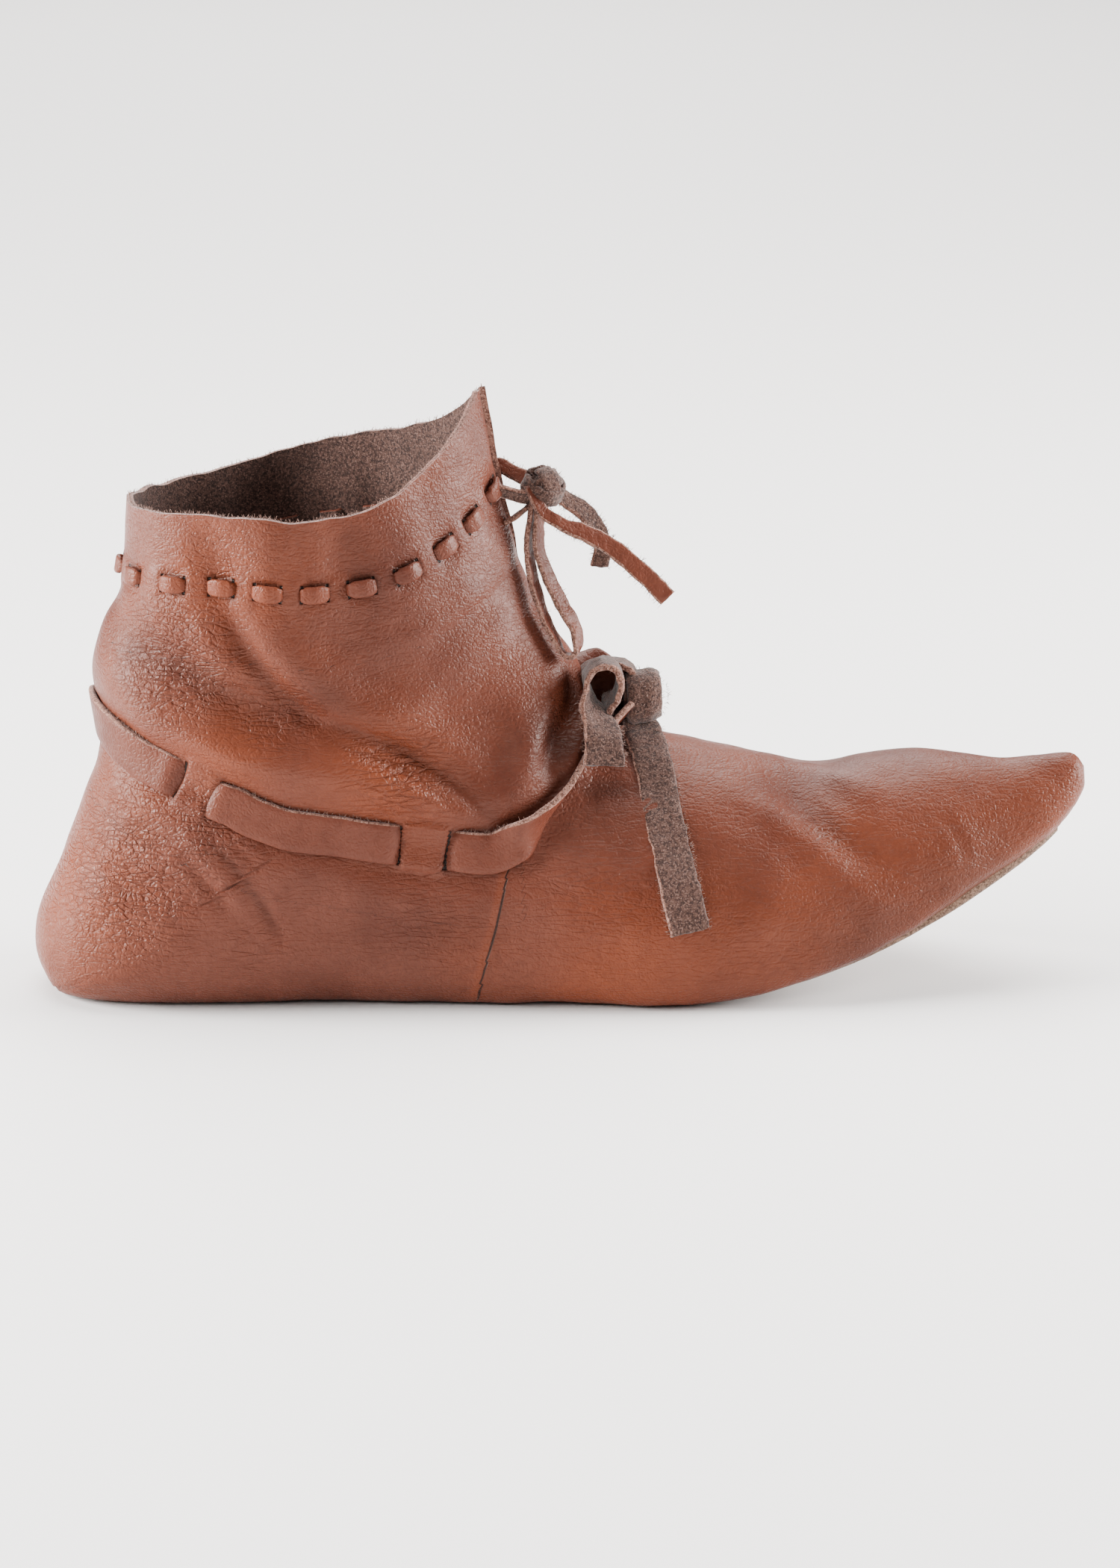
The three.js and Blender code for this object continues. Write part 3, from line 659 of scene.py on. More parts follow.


# Folds of the upper in millimetres: a line of points, its width and its height, below zero for a trough. A sharp
# one is a narrow crease with soft lips, and its shade is painted shade that darkens the leather along it.
folds = [
    # Inner side, shaft
    {"line": [(-122, -14, 103), (-107, -30, 97), (-92, -34, 90), (-80, -36, 84), (-69, -36, 82)],
     "width": 5.5, "height": -2.6, "shade": 0.4},
    {"line": [(-91, -35, 112), (-86, -36, 102), (-78, -36, 91), (-68, -36, 82)],
     "width": 3.2, "height": -2.2, "shade": 0.35},
    {"line": [(-84, -36, 113), (-77, -36, 103), (-68, -36, 94), (-58, -35, 87)], "width": 6.5, "height": 2.0},
    {"line": [(-100, -32, 112), (-95, -34, 102), (-89, -35, 93)], "width": 3.5, "height": 0.9},
    {"line": [(-70, -36, 83), (-59, -35, 79), (-46, -32, 73), (-37, -32, 67), (-28, -32, 60), (-18, -33, 51)],
     "width": 3.0, "height": -2.2, "shade": 0.35},
    {"line": [(-64, -36, 77), (-52, -33, 71), (-42, -32, 66), (-34, -32, 60)],
     "width": 1.2, "height": -0.9, "sharp": True, "shade": 0.35},
    {"line": [(-55, -35, 72), (-46, -33, 68), (-38, -32, 62), (-30, -33, 56)],
     "width": 1.0, "height": -0.7, "sharp": True, "shade": 0.25},
    {"line": [(-56, -36, 85), (-44, -33, 80), (-34, -31, 74), (-25, -30, 65)], "width": 6, "height": 1.8},
    {"line": [(-114, -24, 81), (-100, -31, 77), (-86, -35, 72), (-73, -36, 71), (-56, -34, 68), (-43, -33, 61),
              (-32, -33, 55)], "width": 6, "height": 2.9},
    {"line": [(4.5, -7, 86), (2.6, -11, 82), (-0.5, -16, 76), (-3.2, -21, 71), (-4.8, -25, 67)],
     "width": 4.4, "height": -4.2, "shade": 0.85},
    {"line": [(6.8, -9, 80), (5.4, -14, 75.4), (3.4, -19, 70.4), (0.4, -24, 65)], "width": 3.0, "height": 2.2},
    # The gap that the near strap lies in, and the shade under the knot
    {"line": [(-30, -35, 51), (-25.6, -35, 50.4), (-19.1, -35, 51.6), (-13.5, -34, 53.6), (-7.9, -32, 56.6),
              (-3.1, -29.5, 60), (0.5, -27, 63.6), (4, -24, 68.5), (6.5, -21, 73)],
     "width": 1.7, "height": -2.0, "shade": 0.9},
    {"line": [(3.5, -28, 57), (9, -27, 60.5), (17, -27, 61), (24, -24, 62)], "width": 5.5, "height": -1.8, "shade": 0.75},
    {"line": [(2, -32, 51), (8, -32.5, 50), (19, -33, 48)], "width": 6.5, "height": -0.6, "shade": 0.35},
    # Puckers and a rolled rib along the toe's edge
    {"line": [(128, -18, 39), (129.5, -17, 42), (130.5, -16, 44)], "width": 0.9, "height": 0.6, "sharp": True},
    {"line": [(131.5, -16, 42), (133, -15, 45), (134, -14, 47)], "width": 0.9, "height": 0.6, "sharp": True},
    {"line": [(135.5, -14, 44), (136.8, -13, 47), (137.6, -11, 49)], "width": 0.9, "height": 0.6, "sharp": True},
    {"line": [(86, -30, 17), (90, -29, 18.8), (109, -24, 29.1), (126.1, -19, 40.1), (138.5, -12, 47.7)],
     "width": 2.2, "height": -0.8, "shade": 0.2},
    {"line": [(-14, -24, 86), (-11, -27, 74), (-12, -30, 62)], "width": 6, "height": 1.8},
    {"line": [(-96, -31, 139), (-94, -31, 128), (-93, -32, 114)], "width": 7.5, "height": -2.2, "shade": 0.15},
    {"line": [(-79, -36, 138), (-78, -36, 124), (-77, -36, 112)], "width": 6.5, "height": 1.5},
    {"line": [(-61, -37, 138), (-60, -37, 126), (-58, -36, 112)], "width": 7, "height": -2.0, "shade": 0.15},
    {"line": [(-44, -33, 140), (-41, -32, 124), (-39, -31, 108)], "width": 7.5, "height": 1.3},
    {"line": [(-22, -22, 148), (-24, -24, 130), (-24, -25, 112)], "width": 6, "height": 0.8},
    {"line": [(-70, -36, 108), (-58, -35, 100), (-44, -33, 90)], "width": 8, "height": -1.0, "shade": 0.1},
    {"line": [(-114, -24, 132), (-113, -25, 122), (-111, -26, 112)], "width": 5, "height": 0.9},
    # Inner side, quarter and vamp
    {"line": [(-98, -35, 51), (-90, -36, 43), (-83, -36, 32), (-78, -36, 22)],
     "width": 1.5, "height": -1.3, "sharp": True, "shade": 0.35},
    {"line": [(-94, -35, 52), (-86, -36, 44), (-80, -36, 34)], "width": 1.3, "height": -0.9, "sharp": True},
    {"line": [(-103, -34, 44), (-96, -36, 36), (-91, -37, 28)], "width": 1.4, "height": -0.8, "sharp": True},
    {"line": [(-136, -12, 44), (-127, -25, 39), (-113, -33, 36), (-99, -36, 35)], "width": 4.5, "height": -1.0},
    {"line": [(-130, -14, 58), (-119, -27, 54), (-106, -33, 50)], "width": 2.6, "height": -1.0, "shade": 0.15},
    {"line": [(-134, -16, 36), (-124, -28, 30), (-112, -34, 28)], "width": 4, "height": 0.8},
    {"line": [(-62, -37, 33), (-34, -37, 29), (-4, -40, 28), (26, -43, 24)], "width": 6, "height": 0.8},
    {"line": [(-60, -37, 42), (-40, -36, 38), (-24, -36, 36)], "width": 2.4, "height": -0.7, "shade": 0.1},
    {"line": [(-52, -37, 36), (-36, -37, 33), (-22, -37, 31)], "width": 1.8, "height": -0.5},
    {"line": [(-6, -37, 42), (10, -39, 37), (24, -41, 34)], "width": 2.4, "height": -0.7, "shade": 0.1},
    {"line": [(-8, -38, 36), (8, -40, 32), (20, -42, 30)], "width": 1.8, "height": -0.5},
    {"line": [(40, -17, 58), (51, -24, 53), (63, -29, 47), (75, -34, 36), (83, -35, 28)], "width": 4.8, "height": 1.0},
    {"line": [(56, -10, 59), (64, -21, 52), (71, -27, 47), (79, -31, 42), (88, -31, 38)],
     "width": 5, "height": -1.3, "shade": 0.3},
    {"line": [(68, -4, 59), (76, -13, 57), (86, -20, 52)], "width": 5, "height": 1.2},
    {"line": [(62, -18, 54), (66, -23, 49), (70, -28, 43)], "width": 1.2, "height": -0.6, "sharp": True},
    {"line": [(67, -19, 53), (71, -24, 48), (75, -28, 43)], "width": 1.2, "height": -0.6, "sharp": True},
    {"line": [(104, -25, 48), (107, -26, 43), (109, -27, 38)], "width": 1.3, "height": -0.4, "sharp": True},
    {"line": [(20, -30, 52), (34, -34, 44), (46, -38, 34)], "width": 6, "height": -0.9},
    # Outer side
    {"line": [(-118, 18, 102), (-102, 31, 95), (-86, 36, 86), (-70, 36, 80)],
     "width": 5.5, "height": -2.5, "shade": 0.35},
    {"line": [(-84, 36, 110), (-76, 36, 98), (-70, 36, 84)], "width": 3.5, "height": -1.6, "shade": 0.25},
    {"line": [(-72, 36, 80), (-55, 36, 76), (-38, 34, 68), (-24, 34, 56)],
     "width": 1.9, "height": -2.2, "sharp": True, "shade": 0.5},
    {"line": [(-60, 37, 72), (-46, 36, 68), (-34, 35, 60)], "width": 1.2, "height": -0.8, "sharp": True},
    {"line": [(-108, 28, 78), (-90, 35, 72), (-70, 36, 69), (-50, 35, 65), (-32, 34, 56)],
     "width": 6.5, "height": 2.6},
    {"line": [(1, 10, 92), (0, 15, 84), (-2, 21, 75), (-5, 27, 66)], "width": 4.5, "height": -2.8, "shade": 0.45},
    {"line": [(-96, 31, 137), (-94, 32, 124), (-93, 33, 110)], "width": 8, "height": -1.8, "shade": 0.1},
    {"line": [(-76, 36, 138), (-75, 36, 124), (-74, 36, 110)], "width": 7, "height": 1.3},
    {"line": [(-57, 37, 138), (-56, 37, 124), (-55, 36, 108)], "width": 8, "height": -1.7, "shade": 0.1},
    {"line": [(-40, 32, 112), (-30, 29, 98), (-22, 28, 84)], "width": 6, "height": -1.3, "shade": 0.15},
    {"line": [(50, 24, 54), (62, 30, 48), (74, 36, 38), (82, 37, 28)], "width": 4.2, "height": 1.6},
    {"line": [(60, 14, 57), (70, 26, 50), (80, 33, 42)], "width": 4.5, "height": -1.9, "shade": 0.2},
    {"line": [(-96, 36, 48), (-88, 37, 38), (-82, 37, 27)], "width": 1.7, "height": -1.2, "sharp": True, "shade": 0.3},
    {"line": [(-104, 34, 44), (-97, 36, 36), (-92, 37, 28)], "width": 1.5, "height": -0.9, "sharp": True},
    {"line": [(10, 36, 50), (24, 42, 38), (36, 45, 26)], "width": 5, "height": -1.0},
    {"line": [(-60, 38, 36), (-30, 38, 32), (0, 40, 30)], "width": 6, "height": 0.9},
    {"line": [(-136, 12, 44), (-126, 25, 39), (-112, 34, 36)], "width": 4.5, "height": -0.9},
    # Back
    {"line": [(-122, -8, 110), (-121, 0, 112), (-120, 9, 109)], "width": 5, "height": -1.4, "shade": 0.15},
    {"line": [(-136, -6, 52), (-137, 2, 55), (-133, 10, 52)], "width": 4, "height": -0.8},
]
# Patches of fine wrinkles in millimetres: middle, radius and strength
wrinklePatches = [
    ((-118, -28, 38), 24, 1.0),
    ((-96, -35, 52), 15, 0.9),
    ((-104, -30, 98), 20, 0.9),
    ((-45, -33, 66), 17, 0.8),
    ((-78, -36, 84), 14, 0.7),
    ((-38, -37, 28), 20, 0.5),
    ((6, -39, 34), 22, 0.5),
    ((72, -28, 47), 10, 0.6),
    ((-85, -36, 18), 14, 0.5),
    ((-92, -32, 126), 14, 0.45),
    ((-2, -20, 76), 12, 0.5),
    ((-112, 28, 44), 26, 0.9),
    ((-100, 31, 96), 20, 0.8),
    ((-46, 34, 68), 18, 0.8),
    ((4, 38, 34), 24, 0.5),
    ((72, 28, 47), 14, 0.5),
    ((-138, 0, 36), 20, 0.8),
    ((60, 0, 60), 18, 0.35),
]
# Painted warm light in millimetres: middle, radius and strength
warmPatches = [
    ((-50, -34, 66), 20, 0.55),
    ((-90, -34, 74), 16, 0.4),
    ((-132, -10, 30), 26, 0.55),
    ((2, -16, 78), 9, 0.4),
    ((-120, -18, 60), 18, 0.4),
    ((20, -36, 12), 30, 0.25),
    ((120, -16, 44), 24, 0.25),
    ((-50, 35, 66), 20, 0.45),
    ((-130, 12, 30), 26, 0.45),
]
# Painted shade in millimetres: middle, radius and strength
paintedShadePatches = [
    ((112, -24, 27), 25, 0.5),
    ((84, -34, 18), 22, 0.45),
    ((-45, -38, 12), 32, 0.12),
    ((13, -29, 56), 15, 0.45),
    ((2, -29, 58), 12, 0.3),
    ((-2, -23, 74), 11, 0.75),
    ((40, -36, 42), 18, 0.25),
    ((-50, -36, 108), 30, 0.2),
    ((-20, -32, 70), 16, 0.18),
    ((-66, -36, 92), 16, 0.2),
    ((-74, -36, 136), 18, 0.14),
    ((112, 24, 27), 24, 0.3),
    ((14, 30, 54), 15, 0.35),
]


def toLine(points, line):
    # Distance from each point to a line of points, and how far along the line its nearest place is
    line = np.array(line, float)
    lengths = np.linalg.norm(np.diff(line, axis=0), axis=1)
    starts = np.concatenate([[0], np.cumsum(lengths)])
    best = np.full(len(points), 1e9)
    share = np.zeros(len(points))
    for index, length in enumerate(lengths):
        step = (line[index + 1] - line[index]) / length
        along = np.clip((points - line[index]) @ step, 0, length)
        gap = np.linalg.norm(points - line[index] - along[:, None] * step, axis=1)
        closer = gap < best
        best[closer] = gap[closer]
        share[closer] = (starts[index] + along[closer]) / starts[-1]
    return best, share


seamLine = [(-16, -35.5, 42), (-18, -36, 32), (-20, -36.5, 23), (-23, -36, 12), (-25, -33, 2)]
cinch = {"pull": 0.0014, "puff": 0.002, "below": 0.0008, "bridge": 0.0016, "middle": 0.15}


def leatherRelief(points):
    # Height of the folds over the plain upper at points in metres, and the paint that goes with them
    flat = points / mm
    height = np.zeros(len(points))
    paintedShade = np.zeros(len(points))
    reach = 30
    for fold in folds:
        line = np.array(fold["line"], float)
        low = line.min(0) - reach
        high = line.max(0) + reach
        near = np.nonzero(np.all((flat > low) & (flat < high), axis=1))[0]
        if not len(near):
            continue
        gap, share = toLine(flat[near], line)
        fade = np.sin(np.pi * np.clip(0.06 + 0.88 * share, 0, 1)) ** 0.6
        width = fold["width"]
        if fold.get("sharp"):
            groove = np.exp(-gap / width)
            lips = np.exp(-((gap - 2.4 * width) / (1.3 * width)) ** 2)
            height[near] += fold["height"] * fade * (groove - 0.45 * lips) * mm
            dark = np.exp(-(gap / (0.8 * width)) ** 2)
        else:
            height[near] += fold["height"] * fade * np.exp(-(gap / width) ** 2) * mm
            dark = np.exp(-(gap / width) ** 2)
        # Painted shade along the folds that have a shade
        paintedShade[near] = np.maximum(paintedShade[near], fold.get("shade", 0) * fade * dark)
    strapAcross, strapDepth, strapFar = besideBand(points, bands["strap"])
    thongAcross, thongDepth, thongFar = besideBand(points, bands["thong"])
    # The strap draws the leather in, and the slack above it puffs out
    frontShare = smoothStep(points[:, 0], -0.03, 0.005)
    up = strapAcross / mm
    pulled = -cinch["pull"] * np.exp(-(up / 6.5) ** 2) + cinch["puff"] * np.exp(-((up - 13) / 6) ** 2)
    pulled += cinch["below"] * np.exp(-((up + 12) / 6) ** 2)
    # In front and at the heel the leather is tight
    aside = smoothStep(np.abs(points[:, 1]), 0.008, 0.026)
    pulled = np.where(pulled > 0, pulled * (cinch["middle"] + (1 - cinch["middle"]) * aside), pulled)
    close = smoothStep(strapFar, 0.034, 0.022)
    height += pulled * close * (1 - 0.6 * frontShare)
    covered = smoothStep(np.abs(up), 7.4, 5.2) * smoothStep(strapDepth / mm, 0.2, -1.2)
    height += cinch["bridge"] * covered * smoothStep(strapFar, 0.014, 0.009)
    # The thong's dashes press in, and the leather between them stands up a little
    side = np.abs(thongAcross / mm)
    dashed = smoothStep(side, 5, 2.4) * smoothStep(thongFar, 0.012, 0.008)
    height += dashed * np.where(thongDepth > 0, -0.0004, 0.0005) * smoothStep(np.abs(thongDepth) / mm, 0, 1.4)
    # The vamp's seam has a slightly raised edge on the quarter's side
    gap, _ = toLine(flat, seamLine)
    inner = points[:, 1] < 0
    seamTable = np.array(seamLine[::-1], float)
    behind = flat[:, 0] < np.interp(flat[:, 2], seamTable[:, 2], seamTable[:, 0])
    seam = np.where(inner, np.where(behind, -gap, gap), 9)
    height += np.where(inner & behind, 0.00025 * smoothStep(gap, 4.5, 0.5), 0)
    nearStrap = strapFar < thongFar
    # Where the nearest band is, for the painted shade in the slits and the painted shadow beside the bands; at the
    # inner front near the strap both are left out
    depth = np.where(nearStrap, strapDepth, thongDepth) / mm
    across = np.where(nearStrap, strapAcross / bands["strap"]["half"], thongAcross / bands["thong"]["half"])
    far = np.where(nearStrap & inner & (flat[:, 0] > -12), 1, np.minimum(strapFar, thongFar))
    paint = {
        # Painted shade: the folds' shade and the painted shade patches together
        "paintedShade": np.clip(np.maximum(paintedShade, patchesAt(flat, paintedShadePatches, 0)), 0, 1),
        "crackle": patchesAt(flat, wrinklePatches, 0.22),
        "glow": patchesAt(flat, warmPatches, 0),
        "seam": np.clip(seam, -9, 9),
        "band": np.stack([depth, np.where(far > 0.02, 9, across), np.zeros(len(points))], axis=1),
    }
    return height, paint


def patchesAt(flat, patches, lowest):
    value = np.full(len(flat), float(lowest))
    for middle, radius, strength in patches:
        gap = np.linalg.norm(flat - np.array(middle, float), axis=1)
        value = np.maximum(value, strength * np.exp(-(gap / radius) ** 2))
    return np.clip(value, 0, 1)


def reliefPoint(at, angle, lift=0.0):
    # A point over the folded leather, for what lies on it
    base = upperPoint(at, angle)
    normal = upperNormal(at, angle)
    height, _ = leatherRelief(base)
    return base + normal * (height + lift)[:, None], normal


# Upper
upperMesh = {
    "outerRings": 290,
    "innerRings": 46,
    "columns": 284,
    "innerSideShare": 1.6,
    "underShare": 0.3,
    "hollowStart": 1.5,
    "slitFoot": 13.2,
    "slitHalf": 0.0006,
    "lapForward": 0.0016,
    "tread": 0.006,
}


def evenRows(first, count):
    # Rows that are evenly far apart on the leather
    fine = np.linspace(first, lastRow, 900)
    steps = np.zeros(len(fine) - 1)
    for angle in np.linspace(0, math.pi, 9):
        line = upperPoint(fine, np.full(len(fine), angle))
        steps += np.linalg.norm(np.diff(line, axis=0), axis=1)
    along = np.concatenate([[0], np.cumsum(steps)])
    return np.interp(np.linspace(0, along[-1], count), along, fine)


def evenAngles(rows):
    # Columns that are evenly far apart on each ring, closer on the inner side, and open along the front slit
    columns = upperMesh["columns"]
    turns = np.linspace(0, 2 * math.pi, 721)
    angles = np.zeros((len(rows), columns + 1))
    for index, row in enumerate(rows):
        ring = upperPoint(np.full(len(turns), row), turns)
        steps = np.linalg.norm(np.diff(ring, axis=0), axis=1)
        perTurn = steps[0] / (turns[1] - turns[0])
        middle = (ring[1:] + ring[:-1]) / 2
        steps *= np.where(turns[1:] < math.pi, upperMesh["innerSideShare"], 1)
        steps *= np.where(middle[:, 2] - springAt(middle[:, 0]) < 0.003, upperMesh["underShare"], 1)
        along = np.concatenate([[0], np.cumsum(steps)])
        opening = upperMesh["slitHalf"] * smoothStep(row, upperMesh["slitFoot"], upperMesh["slitFoot"] + 1.2)
        first = np.interp(opening / perTurn, turns, along)
        last = np.interp(2 * math.pi - opening / perTurn, turns, along)
        angles[index] = np.interp(np.linspace(first, last, columns + 1), along, turns)
    return angles


def upperSheet(rows, depth):
    # One skin of the upper, and its paint: the outer one at depth 0, the inner one a wall's thickness inside
    angles = evenAngles(rows)
    rings, columns = angles.shape
    at = np.repeat(rows, columns)
    flatAngles = angles.ravel()
    base = upperPoint(at, flatAngles)
    normal = upperNormal(at, flatAngles)
    height, paint = leatherRelief(base)
    height += softened(base, 0.024, 0.0008, 1) + softened(base, 0.009, 0.0003, 2)
    height *= smoothStep(at, 0.2, 2.0)
    points = base + normal * (height - depth)[:, None]
    # The leather spreads on the floor under the quarter, where it hides the sole's edge
    over = points[:, 2] - springAt(points[:, 0])
    tread = upperMesh["tread"]
    pressed = np.where(over < tread, over * smoothStep(over, -0.0005, tread), over)
    points[:, 2] -= (over - pressed) * smoothStep(points[:, 0], 0.07, 0.045) * (depth == 0)
    # The rim is cut by hand, and the outer flap of the front slit stands a little further forward
    rim = smoothStep(at, 24.2, 25)
    points[:, 2] += rim * softened(base * np.array([1, 1, 0]), 0.007, 0.0009, 3)
    outerFlap = smoothStep(flatAngles, 2 * math.pi - 0.5, 2 * math.pi - 0.02) * smoothStep(at, 19, 25)
    points[:, 0] += outerFlap * upperMesh["lapForward"]
    points[:, 2] += outerFlap * upperMesh["lapForward"] * 0.5
    return points.reshape(rings, columns, 3), paint


def makeUpper():
    outerRows = evenRows(0, upperMesh["outerRings"])
    innerRows = evenRows(upperMesh["hollowStart"], upperMesh["innerRings"])[::-1]
    outer, paint = upperSheet(outerRows, 0)
    inner, _ = upperSheet(innerRows, lastSizes["wall"])
    columns = outer.shape[1]
    # Both skins close to a point at the toe
    tip = outer[0].mean(axis=0)
    back = np.broadcast_to(inner[-1].mean(axis=0), (columns, 3))
    start = np.array([np.broadcast_to(tip, (columns, 3)), tip + (outer[0] - tip) * 0.55])
    points = np.concatenate([start, outer, inner, back[None]])
    rings = len(points)
    bm = bmesh.new()
    bmesh.ops.create_grid(bm, x_segments=columns - 1, y_segments=rings - 1, size=1)
    layers = {name: bm.verts.layers.float.new(name) for name in ("paintedShade", "crackle", "glow", "seam")}
    bandLayer = bm.verts.layers.float_vector.new("band")
    lastOuter = len(outer) + 1
    for face in bm.faces:
        ring = int((face.calc_center_median().y + 1) / 2 * (rings - 1))
        face.material_index = 0 if ring < lastOuter else 2 if ring == lastOuter else 1
    for vert in bm.verts:
        column = round((vert.co.x + 1) / 2 * (columns - 1))
        ring = round((vert.co.y + 1) / 2 * (rings - 1))
        vert.co = points[ring, column]
        flat = min(max(ring - 2, 0), len(outer) - 1) * columns + column
        for name, layer in layers.items():
            vert[layer] = paint[name][flat]
        vert[bandLayer] = paint["band"][flat]
    bmesh.ops.remove_doubles(bm, verts=bm.verts, dist=2e-6)
    # What lies inside the sole plate is left out
    buried = [face for face in bm.faces if all(insideSole(vert.co) for vert in face.verts)]
    bmesh.ops.delete(bm, geom=buried, context="FACES")
    bmesh.ops.recalc_face_normals(bm, faces=bm.faces)
    closeSlit(bm)
    rimLine = (outer[-1] + inner[0]) / 2
    edges["rim"] = [(rimLine, np.tile(np.array([0.0, 0, 1]), (len(rimLine), 1)))]
    for edge in bm.edges:
        slots = {face.material_index for face in edge.link_faces}
        if 2 in slots and len(slots) > 1:
            edge.smooth = False
    upper = pieceFrom("upper_leather", bm)
    for material in (upperGrain, suede, cutEdge):
        upper.data.materials.append(material)
    return upper


def closeSlit(bm):
    # The two cut edges of the front slit, each a thin wall between the outer and the inner skin
    rimHeight = 0.06
    opened = {edge for edge in bm.edges if edge.is_boundary and min(vert.co.z for vert in edge.verts) > rimHeight}
    feet = []
    for slot in (0, 1):
        skin = {vert for edge in opened for vert in edge.verts if edge.link_faces[0].material_index == slot}
        feet.append(min(skin, key=lambda vert: vert.co.z))
    joint = bm.edges.get(feet) or bm.edges.new(feet)
    for edge in [edge for edge in feet[0].link_edges if edge in opened]:
        loop = [edge]
        vert = edge.other_vert(feet[0])
        while vert != feet[1]:
            loop.append(next(other for other in vert.link_edges if other in opened and other != loop[-1]))
            vert = loop[-1].other_vert(vert)
        made = bmesh.ops.triangle_fill(bm, use_beauty=True, use_dissolve=False, edges=loop + [joint])
        for face in made["geom"]:
            if isinstance(face, bmesh.types.BMFace):
                face.material_index = 2
    bmesh.ops.recalc_face_normals(bm, faces=bm.faces)
    left = [edge for edge in bm.edges if edge.is_boundary and min(vert.co.z for vert in edge.verts) > rimHeight]
    print("slit is closed, open edges left:", len(left))


# Sole: place along the length from the heel, and reach to the inner and outer side
solePlate = {
    "thickness": 0.004,
    "edge": 0.0009,
    "stations": 150,
    "rows": np.array([
        (0.022, 0.04, 0.04), (0.03, 0.12, 0.12), (0.055, 0.2, 0.205), (0.1, 0.25, 0.26), (0.18, 0.265, 0.28),
        (0.3, 0.25, 0.29), (0.42, 0.26, 0.325), (0.54, 0.315, 0.375), (0.64, 0.35, 0.4), (0.72, 0.352, 0.385),
        (0.79, 0.325, 0.325), (0.855, 0.282, 0.24), (0.91, 0.235, 0.145), (0.95, 0.19, 0.055),
        (0.972, 0.145, -0.015),
    ]),
}


def soleReach(count):
    places = np.linspace(0, len(solePlate["rows"]) - 1, count)
    along, inner, outer = smoothBetween(solePlate["rows"], places).T
    x = (along - 0.5) * lastSizes["length"]
    return x, -inner * lastSizes["ballWidth"], outer * lastSizes["ballWidth"]


soleX, soleInner, soleOuter = soleReach(400)


def insideSole(point, margin=0.0012):
    inner = np.interp(point.x, soleX, soleInner) + margin
    outer = np.interp(point.x, soleX, soleOuter) - margin
    low = float(springAt(point.x))
    inLength = soleX[0] + margin < point.x < soleX[-1] - margin
    return inLength and inner < point.y < outer and low < point.z < low + solePlate["thickness"] - margin


def makeSole():
    x, inner, outer = soleReach(solePlate["stations"])
    lanes = 14
    edge = solePlate["edge"]
    high = solePlate["thickness"]
    rings = []
    for station in range(len(x)):
        low = float(springAt(x[station]))
        spread = np.linspace(inner[station] + edge, outer[station] - edge, lanes)
        ring = [(x[station], y, low + high) for y in spread]
        ring += [(x[station], outer[station] - edge * 0.3, low + high - edge * 0.3)]
        ring += [(x[station], outer[station], low + share * high) for share in (0.7, 0.3)]
        ring += [(x[station], outer[station] - edge * 0.3, low + edge * 0.3)]
        ring += [(x[station], y, low) for y in spread[::-1]]
        ring += [(x[station], inner[station] + edge * 0.3, low + edge * 0.3)]
        ring += [(x[station], inner[station], low + share * high) for share in (0.3, 0.7)]
        ring += [(x[station], inner[station] + edge * 0.3, low + high - edge * 0.3)]
        ring.append(ring[0])
        rings.append(ring)
    points = np.array(rings)
    flat = points.reshape(-1, 3)
    # The edge was cut by hand
    middle = (np.interp(flat[:, 0], soleX, soleInner) + np.interp(flat[:, 0], soleX, soleOuter)) / 2
    half = (np.interp(flat[:, 0], soleX, soleOuter) - np.interp(flat[:, 0], soleX, soleInner)) / 2
    outwards = np.clip((flat[:, 1] - middle) / np.maximum(half, 1e-4), -1, 1)
    ragged = softened(flat * np.array([1, 0, 1]), 0.004, 0.0003, 5) + softened(flat * np.array([1, 0, 1]), 0.02, 0.0005, 6)
    flat[:, 1] += ragged * outwards ** 3
    sole = gridPiece("sole_plate", points, None, True, True)
    sole.data.materials.append(solePale)
    return sole


